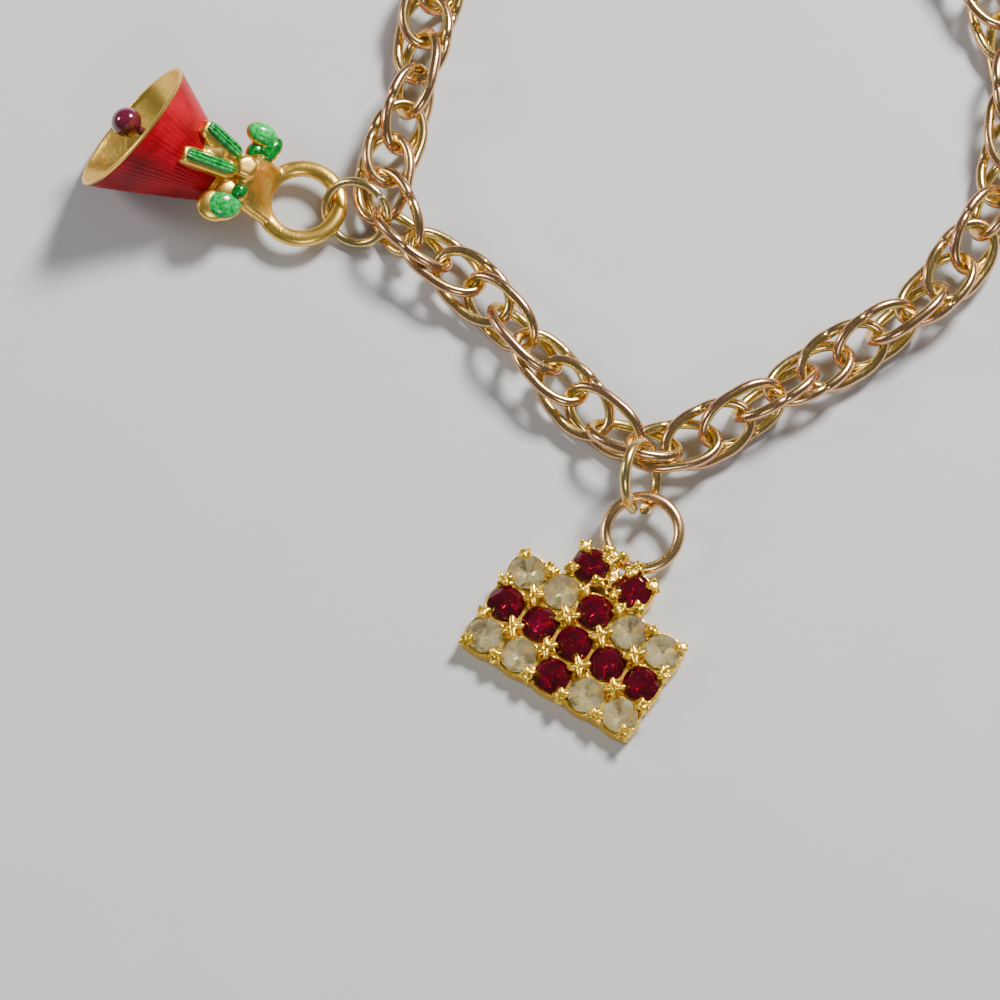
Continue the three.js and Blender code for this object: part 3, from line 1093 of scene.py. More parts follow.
@dataclass
class JumpRing:
    """Ring of round wire with a narrow split and flat cut ends."""

    name: str
    node: str
    radius: float
    wire: float
    centre: Point
    leans: tuple[float, float]
    split_at: float
    spring: float = 0.2
    split_width: float = 0.15

    def build(self) -> bpy.types.Object:
        """Make the ring.

        Returns:
            The piece.
        """
        gap = math.degrees(self.split_width / self.radius)
        ring = wire_ring(self.radius, self.wire, 84, 20, gap)
        rims = [e for e in ring.edges if e.is_manifold and e.calc_face_angle() > 1.0]
        bmesh.ops.bevel(
            ring, geom=rims, offset=0.05, offset_type="OFFSET", segments=2,
            profile=0.5, affect="EDGES", material=-1)
        for vert in ring.verts:
            share = math.atan2(vert.co.y, -vert.co.x) / math.pi
            vert.co.z += self.spring / 2.0 * share ** 3
        placing = (Matrix.Translation(self.centre) @ turned_about("Y", self.leans[1])
                   @ turned_about("X", self.leans[0]) @ turned_about("Z", self.split_at))
        bmesh.ops.transform(ring, matrix=placing, verts=ring.verts[:])
        return piece_from(
            ring, self.name, [JUMP_RING_GOLD.material()], [self.node])


# Gift charm

@dataclass
class CutStone:
    """Round cut stone with a foiled back, cut plane by plane."""

    radius: float = 1.66
    table: float = 0.94
    crown: float = 0.55
    girdle: float = 0.06
    depth: float = 1.1
    star_angle: float = 24.0
    upper_girdle_angle: float = 44.0
    lower_girdle_lift: float = 2.5
    cut_tolerance: float = 1e-6
    foiled_below: float = -0.05

    def planes(self) -> list[tuple[float, float, Point]]:
        """List the facets.

        Returns:
            For each facet the heading and slope in degrees, and a point of it
            at heading zero.
        """
        step = 360.0 / 16.0
        corner = self.table / math.cos(math.radians(step))
        top = self.girdle / 2.0 + self.crown
        bezel = math.degrees(math.atan2(self.crown, self.radius - corner))
        pavilion = math.degrees(math.atan2(self.depth, self.radius))
        cuts = []
        for k in range(8):
            cuts.append((2 * k * step, bezel, (corner, 0.0, top)))
            cuts.append(((2 * k + 1) * step, self.star_angle, (self.table, 0.0, top)))
            cuts.append((2 * k * step, 180.0 - pavilion,
                         (self.radius, 0.0, -self.girdle / 2.0)))
        for k in range(16):
            heading = (k + 0.5) * step
            cuts.append((heading, self.upper_girdle_angle,
                         (self.radius, 0.0, self.girdle / 2.0)))
            cuts.append((heading, 180.0 - pavilion - self.lower_girdle_lift,
                         (self.radius, 0.0, -self.girdle / 2.0)))
        return cuts

    def cut(self, draw: random.Random) -> bmesh.types.BMesh:
        """Cut the stone about the origin, girdle in the XY plane.

        Args:
            draw: Source of the facets' tones.

        Returns:
            The stone: crown faces have material 0, the foiled back has 1,
            and each facet has its own tone, which paints a glint on it.
        """
        bm = bmesh.new()
        height = self.crown + self.depth + self.girdle
        middle = (self.crown - self.depth) / 2.0
        bmesh.ops.create_cone(
            bm, cap_ends=True, segments=48, radius1=self.radius, radius2=self.radius,
            depth=height, matrix=Matrix.Translation((0.0, 0.0, middle)))
        for heading, slope, place in self.planes():
            turn = turned_about("Z", heading)
            normal = turn @ turned_about("Y", slope) @ Vector((0.0, 0.0, 1.0))
            cut = bmesh.ops.bisect_plane(
                bm, geom=bm.verts[:] + bm.edges[:] + bm.faces[:],
                dist=self.cut_tolerance,
                plane_co=turn @ Vector(place), plane_no=normal, clear_outer=True)
            edges = [g for g in cut["geom_cut"] if isinstance(g, bmesh.types.BMEdge)]
            open_edges = [e for e in edges if e.is_boundary]
            if open_edges:
                bmesh.ops.holes_fill(bm, edges=open_edges, sides=0)
        tidy_shell(bm)
        tone = bm.faces.layers.float.new("tone")
        for face in bm.faces:
            face.material_index = 1 if face.normal.z < self.foiled_below else 0
            # A random brightness for each facet: painted glints and painted reflections.
            face[tone] = draw.random()
        return bm


@dataclass(frozen=True)
class Heap:
    """Grains of solder scattered about a place, with the ranges of each."""

    count: int
    across: Pair
    up: Pair
    height: Pair
    size: Pair

    def add(self, bm: bmesh.types.BMesh, place: Vector, draw: random.Random) -> None:
        """Add the grains to a shape that will be fused.

        Args:
            bm: Metal of the setting.
            place: Middle of the heap.
            draw: Source of the grains' places and sizes.
        """
        for _ in range(self.count):
            jitter = Vector((draw.uniform(*self.across), draw.uniform(*self.up),
                             draw.uniform(*self.height)))
            add_grain(bm, place + jitter, draw.uniform(*self.size))


@dataclass
class GiftCharm:
    """Gift box of cut stones in claw cups, with its bow stones and ring."""

    centre = (6.64, -14.5)
    turn: float = -32.4
    pitch: float = 3.6
    columns: int = 5
    rows: int = 3
    girdle_height: float = 1.6
    ring_radius: float = 3.35
    ring_wire: float = 1.05
    ring_centre: tuple[float, float] = (-0.4, 12.35)
    ring_height: float = 1.75
    ring_lean: float = 8.0
    bow_spread: float = 4.56
    bow_row: float = 7.2
    cup_half: float = 1.82
    cup_top: float = 1.44
    cup_wall: float = 0.34
    cup_floor: float = 0.3
    prong_top: float = 2.25
    prong_drop: float = 0.25
    prong_lift: float = -0.12
    outline_inset: float = 0.75
    outline_foot: float = 0.45
    inner_foot: float = 0.85
    prong_head: float = 0.42
    claw_swing: float = 14.0
    claw_lift: Pair = (-0.06, 0.08)
    claw_start: float = 0.18
    claw_root_drop: float = 0.22
    claw_tip_drop: float = 0.14
    claw_reach: Pair = (0.74, 0.98)
    least_reach: float = 0.5
    stone_tilt: float = 3.0
    claw_root: float = 0.4
    claw_tip: Pair = (0.26, 0.33)
    corner_grains: int = 9
    grain_reach: Pair = (0.2, 0.75)
    grain_height: Pair = (1.6, 2.0)
    grain_size: Pair = (0.16, 0.3)
    ring_foot_swing: float = 28.0
    ring_foot_height: float = 1.5
    ring_foot_size: float = 0.62
    ring_foot_heap: Heap = Heap(4, (-0.5, 0.5), (-0.45, 0.35), (0.1, 0.6), (0.2, 0.34))
    lump: Point = (-0.7, 9.1, 1.8)
    lump_heap: Heap = Heap(7, (-0.25, 0.25), (-0.4, 0.3), (-0.2, 0.4), (0.42, 0.6))
    spine_middle: float = 1.1
    spine_foot: float = 0.72
    spine_head: float = 0.6
    spine_height: float = 1.9
    seam_grains: int = 10
    seam_half: float = 0.35
    seam_start: float = 5.7
    seam_pitch: float = 0.34
    seam_height: Pair = (1.5, 1.95)
    seam_size: Pair = (0.2, 0.36)
    voxel: float = 0.12
    seed: int = 11
    stone: CutStone = field(default_factory=CutStone)

    def placing(self) -> Matrix:
        """Give the matrix from the box's own plane to the drawing."""
        return Matrix.Translation((*self.centre, 0.0)) @ turned_about("Z", self.turn)

    def stone_places(self) -> list[tuple[float, float, bool]]:
        """List the stones.

        Returns:
            Each stone's place in the box's plane, and whether it is red.
        """
        places = []
        middle_column = (self.columns - 1) / 2.0
        middle_row = (self.rows - 1) / 2.0
        for row in range(self.rows):
            for column in range(self.columns):
                red = row == middle_row or column == middle_column
                places.append(((column - middle_column) * self.pitch,
                               (middle_row - row) * self.pitch, red))
        for side in (-1, 1):
            x = self.ring_centre[0] + side * self.bow_spread / 2.0
            places.append((x, self.bow_row, True))
        return places

    def add_cup(self, bm: bmesh.types.BMesh, x: float, y: float) -> None:
        """Add one rounded square cup with a floor.

        Args:
            bm: Metal of the setting.
            x: Place across the box.
            y: Place up the box.
        """
        cup = bmesh.new()
        bmesh.ops.create_cone(
            cup, cap_ends=True, segments=32, radius1=self.cup_half, radius2=self.cup_half,
            depth=self.cup_top, matrix=Matrix.Translation((0, 0, self.cup_top / 2.0)))
        for vert in cup.verts:
            angle = math.atan2(vert.co.y, vert.co.x)
            square = (abs(math.cos(angle)) ** 3 + abs(math.sin(angle)) ** 3) ** (-1.0 / 3.0)
            vert.co.x *= square
            vert.co.y *= square
        top = [f for f in cup.faces if f.normal.z > 0.9]
        bmesh.ops.inset_region(cup, faces=top, thickness=self.cup_wall)
        well = bmesh.ops.extrude_face_region(cup, geom=top)
        lower = [g for g in well["geom"] if isinstance(g, bmesh.types.BMVert)]
        bmesh.ops.delete(cup, geom=top, context="FACES")
        bmesh.ops.translate(cup, vec=(0, 0, self.cup_floor - self.cup_top), verts=lower)
        bmesh.ops.translate(cup, vec=(x, y, 0), verts=cup.verts[:])
        tidy_shell(cup)
        append_shape(bm, cup)

    def corners(self) -> dict[tuple[float, float], list[Vector]]:
        """List the corners of the cups with the stones that meet there.

        Returns:
            For each corner the directions towards its stones.
        """
        found: dict[tuple[float, float], list[Vector]] = {}
        for x, y, _ in self.stone_places():
            for side_x in (-1, 1):
                for side_y in (-1, 1):
                    key = (round(x + side_x * self.pitch / 2.0, 2),
                           round(y + side_y * self.pitch / 2.0, 2))
                    inward = Vector((-side_x, -side_y, 0.0)).normalized()
                    found.setdefault(key, []).append(inward)
        return found

    def add_prongs(self, bm: bmesh.types.BMesh, draw: random.Random) -> None:
        """Add the corner posts, the claws over the stones and solder grains.

        Args:
            bm: Metal of the setting.
            draw: Source of the small differences between claws.
        """
        for (x, y), directions in self.corners().items():
            inside = sum(directions, Vector()) / len(directions)
            post = Vector((x, y, 0.0)) + inside * self.outline_inset
            foot = self.outline_foot if len(directions) < 3 else self.inner_foot
            middle = post + Vector((0, 0, self.prong_top / 2 + self.prong_lift))
            bmesh.ops.create_cone(
                bm, cap_ends=True, segments=12, radius1=foot, radius2=self.prong_head,
                depth=self.prong_top - self.prong_drop, matrix=Matrix.Translation(middle))
            for inward in directions:
                swing = turned_about("Z", draw.uniform(-self.claw_swing, self.claw_swing))
                inward = swing @ inward
                lift = draw.uniform(*self.claw_lift)
                root_height = self.prong_top - self.claw_root_drop + lift
                root = post + inward * self.claw_start + Vector((0, 0, root_height))
                reach = draw.uniform(*self.claw_reach) - inside.length * self.outline_inset
                reach = max(reach, self.least_reach)
                tip = post + inward * reach
                tip.z = self.prong_top - self.claw_tip_drop + lift
                add_finger(bm, root, tip, self.claw_root, draw.uniform(*self.claw_tip))
            for _ in range(self.corner_grains):
                angle = draw.uniform(0.0, FULL_TURN)
                reach = draw.uniform(*self.grain_reach)
                grain = post + Vector((math.cos(angle) * reach, math.sin(angle) * reach,
                                       draw.uniform(*self.grain_height)))
                add_grain(bm, grain, draw.uniform(*self.grain_size))

    def add_bow_metal(self, bm: bmesh.types.BMesh, draw: random.Random) -> None:
        """Add the solder between the bow stones, the box and the ring.

        Args:
            bm: Metal of the setting.
            draw: Source of the grains' places.
        """
        ring_x, ring_y = self.ring_centre
        for side in (-1, 1):
            angle = math.radians(-90.0 + side * self.ring_foot_swing)
            foot = Vector((ring_x + self.ring_radius * math.cos(angle),
                           ring_y + self.ring_radius * math.sin(angle),
                           self.ring_foot_height))
            add_grain(bm, foot, self.ring_foot_size)
            self.ring_foot_heap.add(bm, foot, draw)
        self.lump_heap.add(bm, Vector(self.lump), draw)
        spine = Vector((ring_x, self.bow_row, self.spine_middle))
        bmesh.ops.create_cone(
            bm, cap_ends=True, segments=16, radius1=self.spine_foot,
            radius2=self.spine_head, depth=self.spine_height,
            matrix=Matrix.Translation(spine))
        for k in range(self.seam_grains):
            place = Vector((ring_x + draw.uniform(-self.seam_half, self.seam_half),
                            self.seam_start + self.seam_pitch * k + draw.uniform(-0.1, 0.1),
                            draw.uniform(*self.seam_height)))
            add_grain(bm, place, draw.uniform(*self.seam_size))

    def build_setting(self) -> bpy.types.Object:
        """Make the soldered metal with its ring.

        Returns:
            The piece.
        """
        draw = random.Random(self.seed)
        metal = bmesh.new()
        for x, y, _ in self.stone_places():
            self.add_cup(metal, x, y)
        self.add_prongs(metal, draw)
        self.add_bow_metal(metal, draw)
        for vert in metal.verts:
            vert.co.z = max(vert.co.z, 0.0)
        skin = fused(metal, self.voxel, 1)
        ring = wire_ring(self.ring_radius, self.ring_wire, 96, 24)
        ring_place = Matrix.Translation((*self.ring_centre, self.ring_height))
        bmesh.ops.transform(
            ring, matrix=ring_place @ turned_about("X", self.ring_lean), verts=ring.verts[:])
        for face in ring.faces:
            face.material_index = 1
        append_shape(skin, ring)
        bmesh.ops.transform(skin, matrix=self.placing(), verts=skin.verts[:])
        return piece_from(
            skin, "gift_claw_setting", [SETTING_GOLD.material(), RING_GOLD.material()],
            ["gift_setting"], 70.0)

    def build_stones(self) -> None:
        """Make the cut stones, each turned a little differently."""
        draw = random.Random(self.seed + 1)
        clear = [CLEAR_GLASS.material(), CLEAR_FOIL.material()]
        red = [RED_GLASS.material(), RED_FOIL.material()]
        for number, (x, y, is_red) in enumerate(self.stone_places(), start=1):
            stone = self.stone.cut(draw)
            tilt = (turned_about("X", draw.uniform(-self.stone_tilt, self.stone_tilt))
                    @ turned_about("Y", draw.uniform(-self.stone_tilt, self.stone_tilt)))
            spot = Matrix.Translation((x, y, self.girdle_height))
            placing = self.placing() @ spot @ tilt @ turned_about("Z", draw.uniform(0, 45))
            bmesh.ops.transform(stone, matrix=placing, verts=stone.verts[:])
            piece_from(
                stone, f"cut_stone_{number}", red if is_red else clear,
                [f"gift_stone_{number}"], 1.0)

    def build_all(self) -> None:
        """Make the setting and the stones."""
        self.build_setting()
        self.build_stones()


# Bell charm

@dataclass(frozen=True)
class Lobe:
    """Domed cushion of the bow, placed in the bell's frame."""

    middle: Point
    length: float
    width: float
    heading: float
    thickness: float = 1.1
    # How far the lobe's green runs to the pale lit colour: painted highlight on lit lobes,
    # painted shade on shaded ones.
    tone: float = 0.5

    def shape(self, grow: float, sink: float) -> bmesh.types.BMesh:
        """Form the cushion.

        Args:
            grow: Amount added all round its outline.
            sink: Amount by which it lies lower.

        Returns:
            The closed shape in the bell's frame.
        """
        bm = bmesh.new()
        bmesh.ops.create_uvsphere(bm, u_segments=40, v_segments=20, radius=1.0)
        half = (self.length / 2.0 + grow, self.width / 2.0 + grow, self.thickness / 2.0)
        middle = Vector(self.middle) - Vector((0.0, 0.0, sink))
        placing = (Matrix.Translation(middle) @ turned_about("Z", self.heading)
                   @ Matrix.Diagonal((*half, 1.0)))
        bmesh.ops.transform(bm, matrix=placing, verts=bm.verts[:])
        return bm


@dataclass(frozen=True)
class Tail:
    """Ribbed strap of the bow; its ends are given at the top of the enamel."""

    start: Point
    end: Point
    width: float = 1.2
    thickness: float = 1.2
    ridges: int = 3
    ridge_height: float = 0.05
    narrowing: float = 0.3
    dome: float = 0.22
    tone: float = 0.3
    # Tone swing with the ridges: painted highlight on their crests, painted shade in their
    # furrows.
    ridge_painted_light: float = 0.35
    crown_tone: float = 0.25

    def shape(self, grow: float, sink: float, shift: float) -> bmesh.types.BMesh:
        """Form the strap, with ridges when it isn't grown.

        Args:
            grow: Amount added all round its outline.
            sink: Amount by which its top lies lower.
            shift: Sideways shift.

        Returns:
            The closed shape in the bell's frame, with each point's tone, which paints highlight
            and shade on the ridges.
        """
        start, end = Vector(self.start), Vector(self.end)
        length = (end - start).length + 2.0 * grow
        width = self.width + 2.0 * grow
        bm = bmesh.new()
        tone = bm.verts.layers.float.new("tone")
        bmesh.ops.create_grid(bm, x_segments=40, y_segments=24, size=1.0)
        base = bmesh.ops.extrude_face_region(bm, geom=bm.faces[:])
        lower = {g for g in base["geom"] if isinstance(g, bmesh.types.BMVert)}
        for vert in bm.verts:
            x, y, _ = vert.co
            ridge = math.cos(y * math.pi * (self.ridges + 0.5)) if grow <= 0.0 else 0.0
            # Lighter on the ridges' crests and darker in the furrows, as painted highlight and
            # shade, and lighter towards the start.
            vert[tone] = self.tone + self.ridge_painted_light * ridge + self.crown_tone * max(0.0, -x)
            narrowing = 1.0 - self.narrowing * abs(x) ** 8
            dome = self.dome * (y ** 4 + x ** 8)
            height = -self.thickness if vert in lower else self.ridge_height * ridge - dome
            vert.co = (x * length / 2.0, y * width / 2.0 * narrowing + shift, height)
        placing = along_line(start, end) @ Matrix.Translation(
            ((end - start).length / 2.0, 0.0, -sink))
        bmesh.ops.transform(bm, matrix=placing, verts=bm.verts[:])
        bmesh.ops.recalc_face_normals(bm, faces=bm.faces[:])
        return bm


@dataclass
class BellCharm:
    """Enamelled bell with a bow, a cast ring and a clapper."""

    crown: Point = (-23.5, 29.32, 2.29)
    heading: float = 154.0
    rise: float = 19.6
    body_crown: Point = (-23.64, 29.14, 1.95)
    body_heading: float = 153.6
    body_rise: float = 21.9
    mouth_turn: float = -6.6
    mouth_tilt: float = 5.0
    profile: Sequence[tuple[float, float]] = (
        (0.0, 0.6), (0.3, 1.2), (1.2, 1.7), (3.4, 2.65), (5.9, 3.85),
        (8.8, 5.3), (11.86, 6.8), (12.2, 6.9))
    hollow: Sequence[tuple[float, float]] = (
        (3.2, 0.9), (5.9, 2.95), (9.9, 5.3), (12.0, 6.5))
    lip: float = 0.2
    enamel_start: float = 3.4
    enamel_end: float = 11.86
    enamel_depth: float = 0.35
    enamel_gap: float = 0.03
    ribs: int = 72
    rib_height: float = 0.045
    rib_range: Pair = (0.25, 1.0)
    rib_fades: Pair = (4.0, 10.0)
    steps_per_rib: int = 4
    seed: int = 5
    ring_radius: float = 3.48
    ring_width: float = 1.58
    ring_thickness: float = 1.2
    ring_centre: Point = (-18.2, 28.35, 2.0)
    clapper_ball: float = 1.4
    clapper_reach: float = 12.6
    clapper_rod: float = 0.4
    clapper_start: float = 3.35
    knot_place: Point = (1.35, -1.1, 2.75)
    knot_radius: float = 1.42
    knot_depth: float = 1.9
    knot_taper: float = 0.9
    knot_edge: float = 0.62
    knot_turn: float = 120.0
    web_fingers: int = 11
    web_start: float = 128.0
    web_sweep: float = 84.0
    web_foot: Point = (0.4, -2.9, 1.5)
    web_foot_run: Point = (0.5, 4.2, 0.5)
    web_rim_size: Pair = (0.6, 0.1)
    web_foot_size: Pair = (0.75, 0.35)
    frame_width: float = 0.14
    frame_sink: float = 0.25
    strap_frame: float = 0.3
    strap_shifts: Pair = (0.05, 0.28)
    voxel: float = 0.1
    # The last number of each green lobe is its tone: lit lobes near 1 are painted pale, shaded
    # ones near 0 are painted dark.
    upper_loop: Sequence[Lobe] = (
        Lobe((1.3, -5.1, 2.1), 2.9, 1.95, 6.0, 1.3, 1.0),
        Lobe((-0.2, -4.35, 1.8), 2.7, 1.5, 81.0, 1.2, 0.12),
        Lobe((0.9, -3.4, 1.6), 2.0, 1.8, 90.0, 1.0, 0.0))
    lower_loop: Sequence[Lobe] = (
        Lobe((1.35, 2.65, 1.9), 3.3, 2.7, 38.0, 1.6, 0.62),
        Lobe((0.75, 0.95, 2.3), 1.8, 1.4, 60.0, 1.3, 0.05))
    left_tail: Tail = Tail((2.1, -0.35, 3.4), (6.85, 1.25, 5.35))
    right_tail: Tail = Tail((2.2, -1.95, 3.3), (6.2, -2.15, 5.15))
    gold_lobes: Sequence[Lobe] = (
        Lobe((2.0, 3.0, 1.6), 3.6, 3.2, 38.0, 1.4),
        Lobe((4.9, -0.75, 3.5), 2.8, 2.2, 10.0, 1.0),
        Lobe((1.6, 1.2, 1.9), 3.0, 2.4, 60.0, 1.3),
        Lobe((0.6, -2.2, 1.6), 3.0, 2.0, 90.0, 1.2))

    def placing(self) -> Matrix:
        """Give the frame of bow and clapper: X from crown to mouth, Z upward."""
        return (Matrix.Translation(self.crown) @ turned_about("Z", self.heading)
                @ turned_about("Y", -self.rise))

    def place_body(self, bm: bmesh.types.BMesh) -> None:
        """Put a turned part of the body in place, its mouth a little askew.

        Args:
            bm: Part turned about X, with the crown at the origin.
        """
        length = self.profile[-1][0]
        for vert in bm.verts:
            along, across = vert.co.x, Vector((0.0, vert.co.y, vert.co.z))
            share = min(1.0, max(0.0, along / length))
            turn = (turned_about("Z", self.mouth_turn * share)
                    @ turned_about("Y", -self.mouth_tilt * share))
            vert.co = turn @ across + Vector((along, 0.0, 0.0))
        placing = (Matrix.Translation(self.body_crown)
                   @ turned_about("Z", self.body_heading)
                   @ turned_about("Y", -self.body_rise))
        bmesh.ops.transform(bm, matrix=placing, verts=bm.verts[:])

    def radius_at(self, along: float) -> float:
        """Give the outer radius at a distance from the crown.

        Args:
            along: Distance along the axis.

        Returns:
            The radius.
        """
        for (start, low), (end, high) in zip(self.profile, self.profile[1:]):
            if along <= end:
                return low + (high - low) * (along - start) / (end - start)
        return self.profile[-1][1]

    def curve(self, start: float, end: float, inset: float) -> list[tuple[float, float]]:
        """Give the smooth outline between two distances, moved inward.

        Args:
            start: Distance at which the outline begins.
            end: Distance at which it ends.
            inset: Amount by which the radius is smaller.

        Returns:
            Points as distance and radius.
        """
        inner = [p for p in self.profile if start < p[0] < end]
        points = [(start, self.radius_at(start)), *inner, (end, self.radius_at(end))]
        return [(a, r - inset) for a, r in smooth_curve(points, 4)]

    def shell(self) -> bmesh.types.BMesh:
        """Turn the gold shell, hollow, with a thin rounded lip."""
        length, mouth = self.profile[-1]
        crown = [(0.0, 0.0), *self.curve(0.0, self.enamel_start, 0.0)]
        field_metal = self.curve(self.enamel_start, self.enamel_end, self.enamel_depth)
        rim = self.curve(self.enamel_end, length - self.lip, 0.0)
        turns = [math.pi * k / 8.0 for k in range(1, 8)]
        lip = [(length - self.lip + self.lip * math.sin(turn),
                mouth - self.lip + self.lip * math.cos(turn)) for turn in turns]
        inside = smooth_curve(self.hollow, 6)[::-1]
        outline = [*crown, *field_metal, *rim, *lip, *inside, (self.hollow[0][0], 0.0)]
        return turned_shape(outline, 128)

    def build_enamel(self) -> bpy.types.Object:
        """Make the red coat, ribbed on its lower side and smooth on its upper side.

        Returns:
            The piece.
        """
        start = self.enamel_start + self.enamel_gap
        end = self.enamel_end - self.enamel_gap
        outside = self.curve(start, end, 0.0)
        inside = self.curve(start, end, self.enamel_depth - self.enamel_gap)[::-1]
        around = self.ribs * self.steps_per_rib
        skin = turned_shape([*outside, *inside, outside[0]], around)
        draw = random.Random(self.seed)
        heights = [draw.uniform(*self.rib_range) for _ in range(self.ribs)]
        fade_in, fade_out = self.rib_fades
        for vert in skin.verts:
            radius = math.hypot(vert.co.y, vert.co.z)
            if radius < self.radius_at(vert.co.x) - self.enamel_depth / 2.0:
                continue
            share = (vert.co.x - start) / (end - start)
            fade = min(1.0, share * fade_in, (1.0 - share) * fade_out)
            angle = math.atan2(vert.co.z, vert.co.y)
            side = min(1.0, max(0.0, (math.cos(angle) + 0.3) / 0.5))
            rib = round(angle / FULL_TURN * self.ribs) % self.ribs
            height = (self.rib_height * heights[rib] * fade * side
                      * math.cos(angle * self.ribs))
            vert.co.yz = vert.co.yz * (1.0 + height / radius)
        self.place_body(skin)
        return piece_from(
            skin, "bell_red_coat", [RED_ENAMEL.material()],
            ["bell_enamel"], 60.0)

    def knot(self) -> bmesh.types.BMesh:
        """Form the five-cornered cushion of the bow's knot."""
        bm = bmesh.new()
        bmesh.ops.create_cone(
            bm, cap_ends=True, segments=5, radius1=self.knot_radius * self.knot_taper,
            radius2=self.knot_radius, depth=self.knot_depth)
        bmesh.ops.bevel(
            bm, geom=bm.edges[:], offset=self.knot_edge, offset_type="OFFSET", segments=6,
            profile=0.5, affect="EDGES", material=-1)
        placing = Matrix.Translation(self.knot_place) @ turned_about("Z", self.knot_turn)
        bmesh.ops.transform(bm, matrix=placing, verts=bm.verts[:])
        return bm

    def cast_ring(self) -> bmesh.types.BMesh:
        """Form the flat-lying ring with its softly oval section."""
        ring = wire_ring(self.ring_radius, self.ring_width, 96, 24)
        flatten = Matrix.Diagonal((1, 1, self.ring_thickness / self.ring_width, 1))
        placing = Matrix.Translation(self.ring_centre) @ flatten
        bmesh.ops.transform(ring, matrix=placing, verts=ring.verts[:])
        return ring

    def add_web(self, bm: bmesh.types.BMesh) -> None:
        """Add the metal that broadens the ring towards the crown and the bow.

        Args:
            bm: Metal of the casting, in the drawing's frame.
        """
        centre = Vector(self.ring_centre)
        bell = self.placing()
        for k in range(self.web_fingers):
            share = k / (self.web_fingers - 1)
            turn = math.radians(self.web_start + self.web_sweep * share)
            rim = Vector((math.cos(turn), math.sin(turn), 0.0)) * self.ring_radius
            bulge = math.sin(math.pi * share)
            along, side, up = self.web_foot
            along_run, side_run, up_run = self.web_foot_run
            foot = bell @ Vector(
                (along + along_run * share, side + side_run * share, up + up_run * bulge))
            rim_size = self.web_rim_size[0] + self.web_rim_size[1] * bulge
            foot_size = self.web_foot_size[0] + self.web_foot_size[1] * bulge
            add_finger(bm, centre + rim, foot, rim_size, foot_size)

    def build_casting(self) -> bpy.types.Object:
        """Make the gold shell with the bow's frames, the knot and the ring.

        Returns:
            The piece.
        """
        metal = bmesh.new()
        for lobe in (*self.upper_loop, *self.lower_loop):
            append_shape(metal, lobe.shape(self.frame_width, self.frame_sink))
        for lobe in self.gold_lobes:
            append_shape(metal, lobe.shape(0.0, 0.0))
        for tail, shift in zip((self.left_tail, self.right_tail), self.strap_shifts):
            append_shape(metal, tail.shape(self.strap_frame, self.strap_frame, shift))
        append_shape(metal, self.knot())
        bmesh.ops.transform(metal, matrix=self.placing(), verts=metal.verts[:])
        append_shape(metal, self.cast_ring())
        self.add_web(metal)
        skin = fused(metal, self.voxel, 5)
        shell = self.shell()
        self.place_body(shell)
        append_shape(skin, shell)
        return piece_from(
            skin, "bell_gold_casting", [CASTING_GOLD.material()],
            ["bell_casting"], 50.0)

    def green_piece(
        self, shape: bmesh.types.BMesh, name: str, material: bpy.types.Material
    ) -> None:
        """Place one enamelled part of the bow.

        Args:
            shape: The part in the bell's frame, which is freed.
            name: Name of the loop or tail.
            material: Green enamel.
        """
        bmesh.ops.transform(shape, matrix=self.placing(), verts=shape.verts[:])
        piece_from(shape, f"bow_green_{name}", [material],
                   [f"bow_enamel_{name}"], 60.0)

    def build_bow_enamels(self) -> None:
        """Make the green enamel of each loop and tail."""
        material = GREEN_ENAMEL.material()
        for name, lobes in (("upper", self.upper_loop), ("lower", self.lower_loop)):
            loop = bmesh.new()
            tone = loop.verts.layers.float.new("tone")
            for lobe in lobes:
                # Each lobe's tone paints it as lit or as shaded.
                for vert in append_shape(loop, lobe.shape(0.0, 0.0)):
                    vert[tone] = lobe.tone
            self.green_piece(loop, name, material)
        for name, tail in (("tail_left", self.left_tail), ("tail_right", self.right_tail)):
            self.green_piece(tail.shape(0.0, 0.0, 0.0), name, material)

    def build_clapper(self) -> bpy.types.Object:
        """Make the clapper's ball and rod.

        Returns:
            The piece.
        """
        joint = math.asin(self.clapper_rod / self.clapper_ball)
        profile = [(self.clapper_start, 0.0), (self.clapper_start, self.clapper_rod)]
        for k in range(25):
            angle = joint + (math.pi - joint) * k / 24.0
            radius = self.clapper_ball * math.sin(angle) if k < 24 else 0.0
            profile.append((self.clapper_reach - self.clapper_ball * math.cos(angle), radius))
        clapper = turned_shape(profile, 48)
        bmesh.ops.transform(clapper, matrix=self.placing(), verts=clapper.verts[:])
        return piece_from(
            clapper, "bell_lacquered_clapper", [CLAPPER_LACQUER.material()],
            ["bell_clapper"])

    def build_all(self) -> None:
        """Make the whole bell."""
        self.build_casting()
        self.build_enamel()
        self.build_bow_enamels()
        self.build_clapper()


# Studio

@dataclass(frozen=True)
class SoftLight:
    """Square soft light that faces the bracelet, in metres and watts."""

    name: str
    place: Point
    size: float
    power: float

    def hang(self) -> None:
        """Hang the light."""
        data = bpy.data.lights.new(self.name, "AREA")
        data.size = self.size
        data.energy = self.power
        light = placed_object(self.name, data)
        light.location = self.place
        light.rotation_euler = (-Vector(self.place)).to_track_quat("-Z", "Y").to_euler()


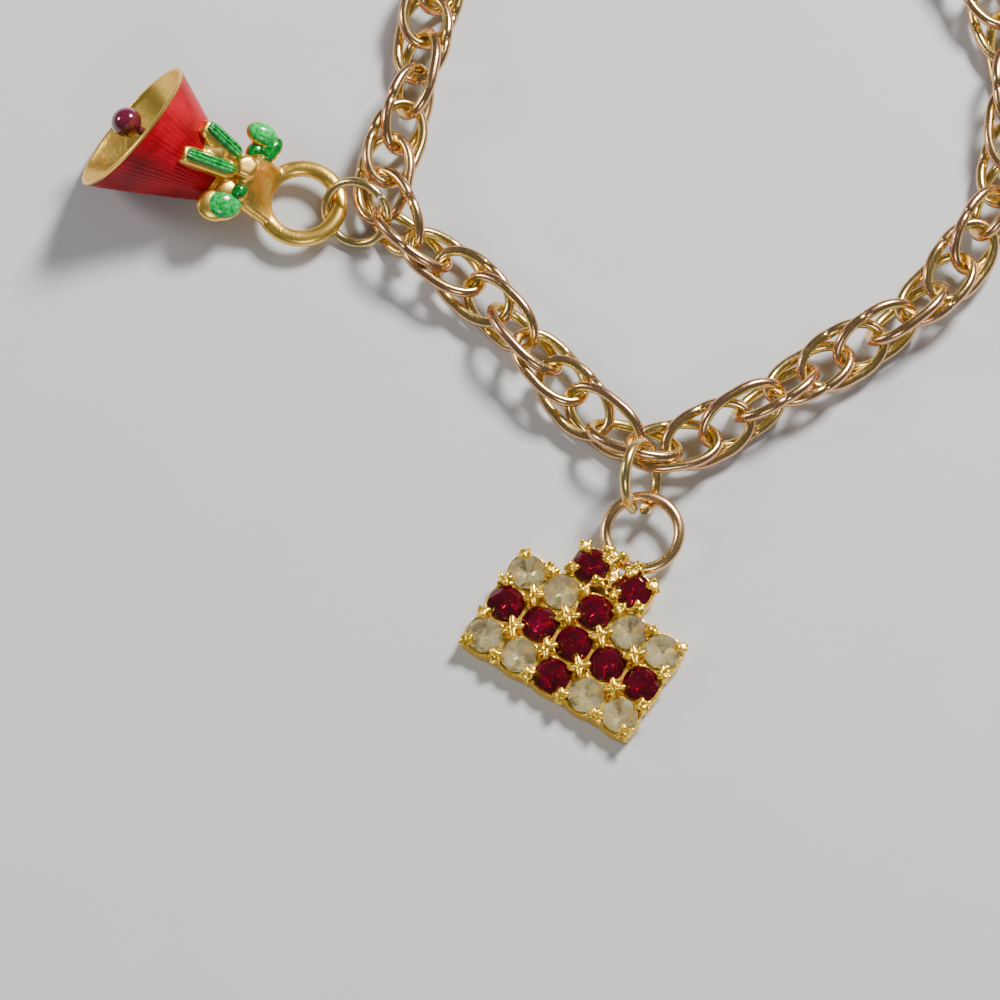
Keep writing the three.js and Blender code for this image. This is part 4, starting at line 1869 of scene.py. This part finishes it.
@dataclass
class Studio:
    """Camera, pale floor and soft lights."""

    elevation: float = 69.0
    distance: float = 1000.0
    lens: float = 396.0
    near_clip: float = 0.01
    floor_size: float = 0.9
    floor_drop: float = 0.02
    floor_colours: tuple[Colour, Colour] = ((0.55, 0.55, 0.55, 1), (0.59, 0.59, 0.58, 1))
    floor_roughness: float = 0.9
    lights: Sequence[SoftLight] = (
        SoftLight("key_light", (0.22, 0.26, 0.36), 0.12, 5.2),
        SoftLight("side_light", (-0.42, 0.1, 0.25), 0.12, 0.9),
        SoftLight("front_light", (0.05, -0.45, 0.4), 0.16, 0.7))
    sky: Colour = (0.80, 0.85, 0.92, 1.0)
    sky_strength: float = 0.16

    def add_camera(self) -> bpy.types.Object:
        """Make the camera that looks at the photograph's middle.

        Returns:
            The camera.
        """
        data = bpy.data.cameras.new("camera")
        data.lens = self.lens
        data.clip_start = self.near_clip
        camera = placed_object("camera", data)
        lift = math.radians(self.elevation)
        look = drawing_to_row() @ Vector((0.0, 0.0, 0.0))
        away = Vector((0.0, -math.cos(lift), math.sin(lift)))
        camera.location = look + away * self.distance * MM
        camera.rotation_euler = (math.pi / 2.0 - lift, 0.0, 0.0)
        bpy.context.scene.camera = camera
        return camera

    def add_floor(self) -> bpy.types.Object:
        """Make the plain pale floor.

        Returns:
            The floor.
        """
        material, bench, shader = bare_material("pale floor")
        tint = bench.blend(bench.noise(60.0, 2.0), *self.floor_colours)
        bench.feed(shader, Base_Color=tint, Roughness=self.floor_roughness)
        bm = bmesh.new()
        bmesh.ops.create_grid(
            bm, x_segments=1, y_segments=1, size=self.floor_size / 2.0,
            matrix=Matrix.Translation((0, 0, -self.floor_drop * MM)))
        mesh = bpy.data.meshes.new("pale_floor")
        bm.to_mesh(mesh)
        bm.free()
        mesh.materials.append(material)
        floor = placed_object("pale_floor", mesh)
        return floor

    def add_lights(self) -> None:
        """Hang the lights and set the faint light all round."""
        for light in self.lights:
            light.hang()
        world = bpy.data.worlds.new("studio")
        world.use_nodes = True
        background = world.node_tree.nodes["Background"]
        background.inputs["Color"].default_value = self.sky
        background.inputs["Strength"].default_value = self.sky_strength
        bpy.context.scene.world = world


def main() -> None:
    """Build the studio and the bracelet, piece by piece."""
    logging.basicConfig(level=logging.INFO, format="%(name)s: %(message)s")
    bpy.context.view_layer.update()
    studio = Studio()
    studio.add_camera()
    studio.add_floor()
    studio.add_lights()
    chain = RopeChain(Route())
    chain.build_all()
    ClaspRing(chain).build()
    GiftCharm().build_all()
    JumpRing(
        name="gift_split_ring", node="gift_jump_ring", radius=3.0, wire=1.02,
        centre=(12.8, 1.0, 3.4), leans=(10.0, 64.0), split_at=280.0, spring=1.1).build()
    BellCharm().build_all()
    JumpRing(
        name="bell_split_ring", node="bell_jump_ring", radius=3.0, wire=0.85,
        centre=(-13.16, 27.18, 2.64), leans=(39.0, -26.0), split_at=20.0, spring=0.3).build()


if __name__ == "__main__":
    main()
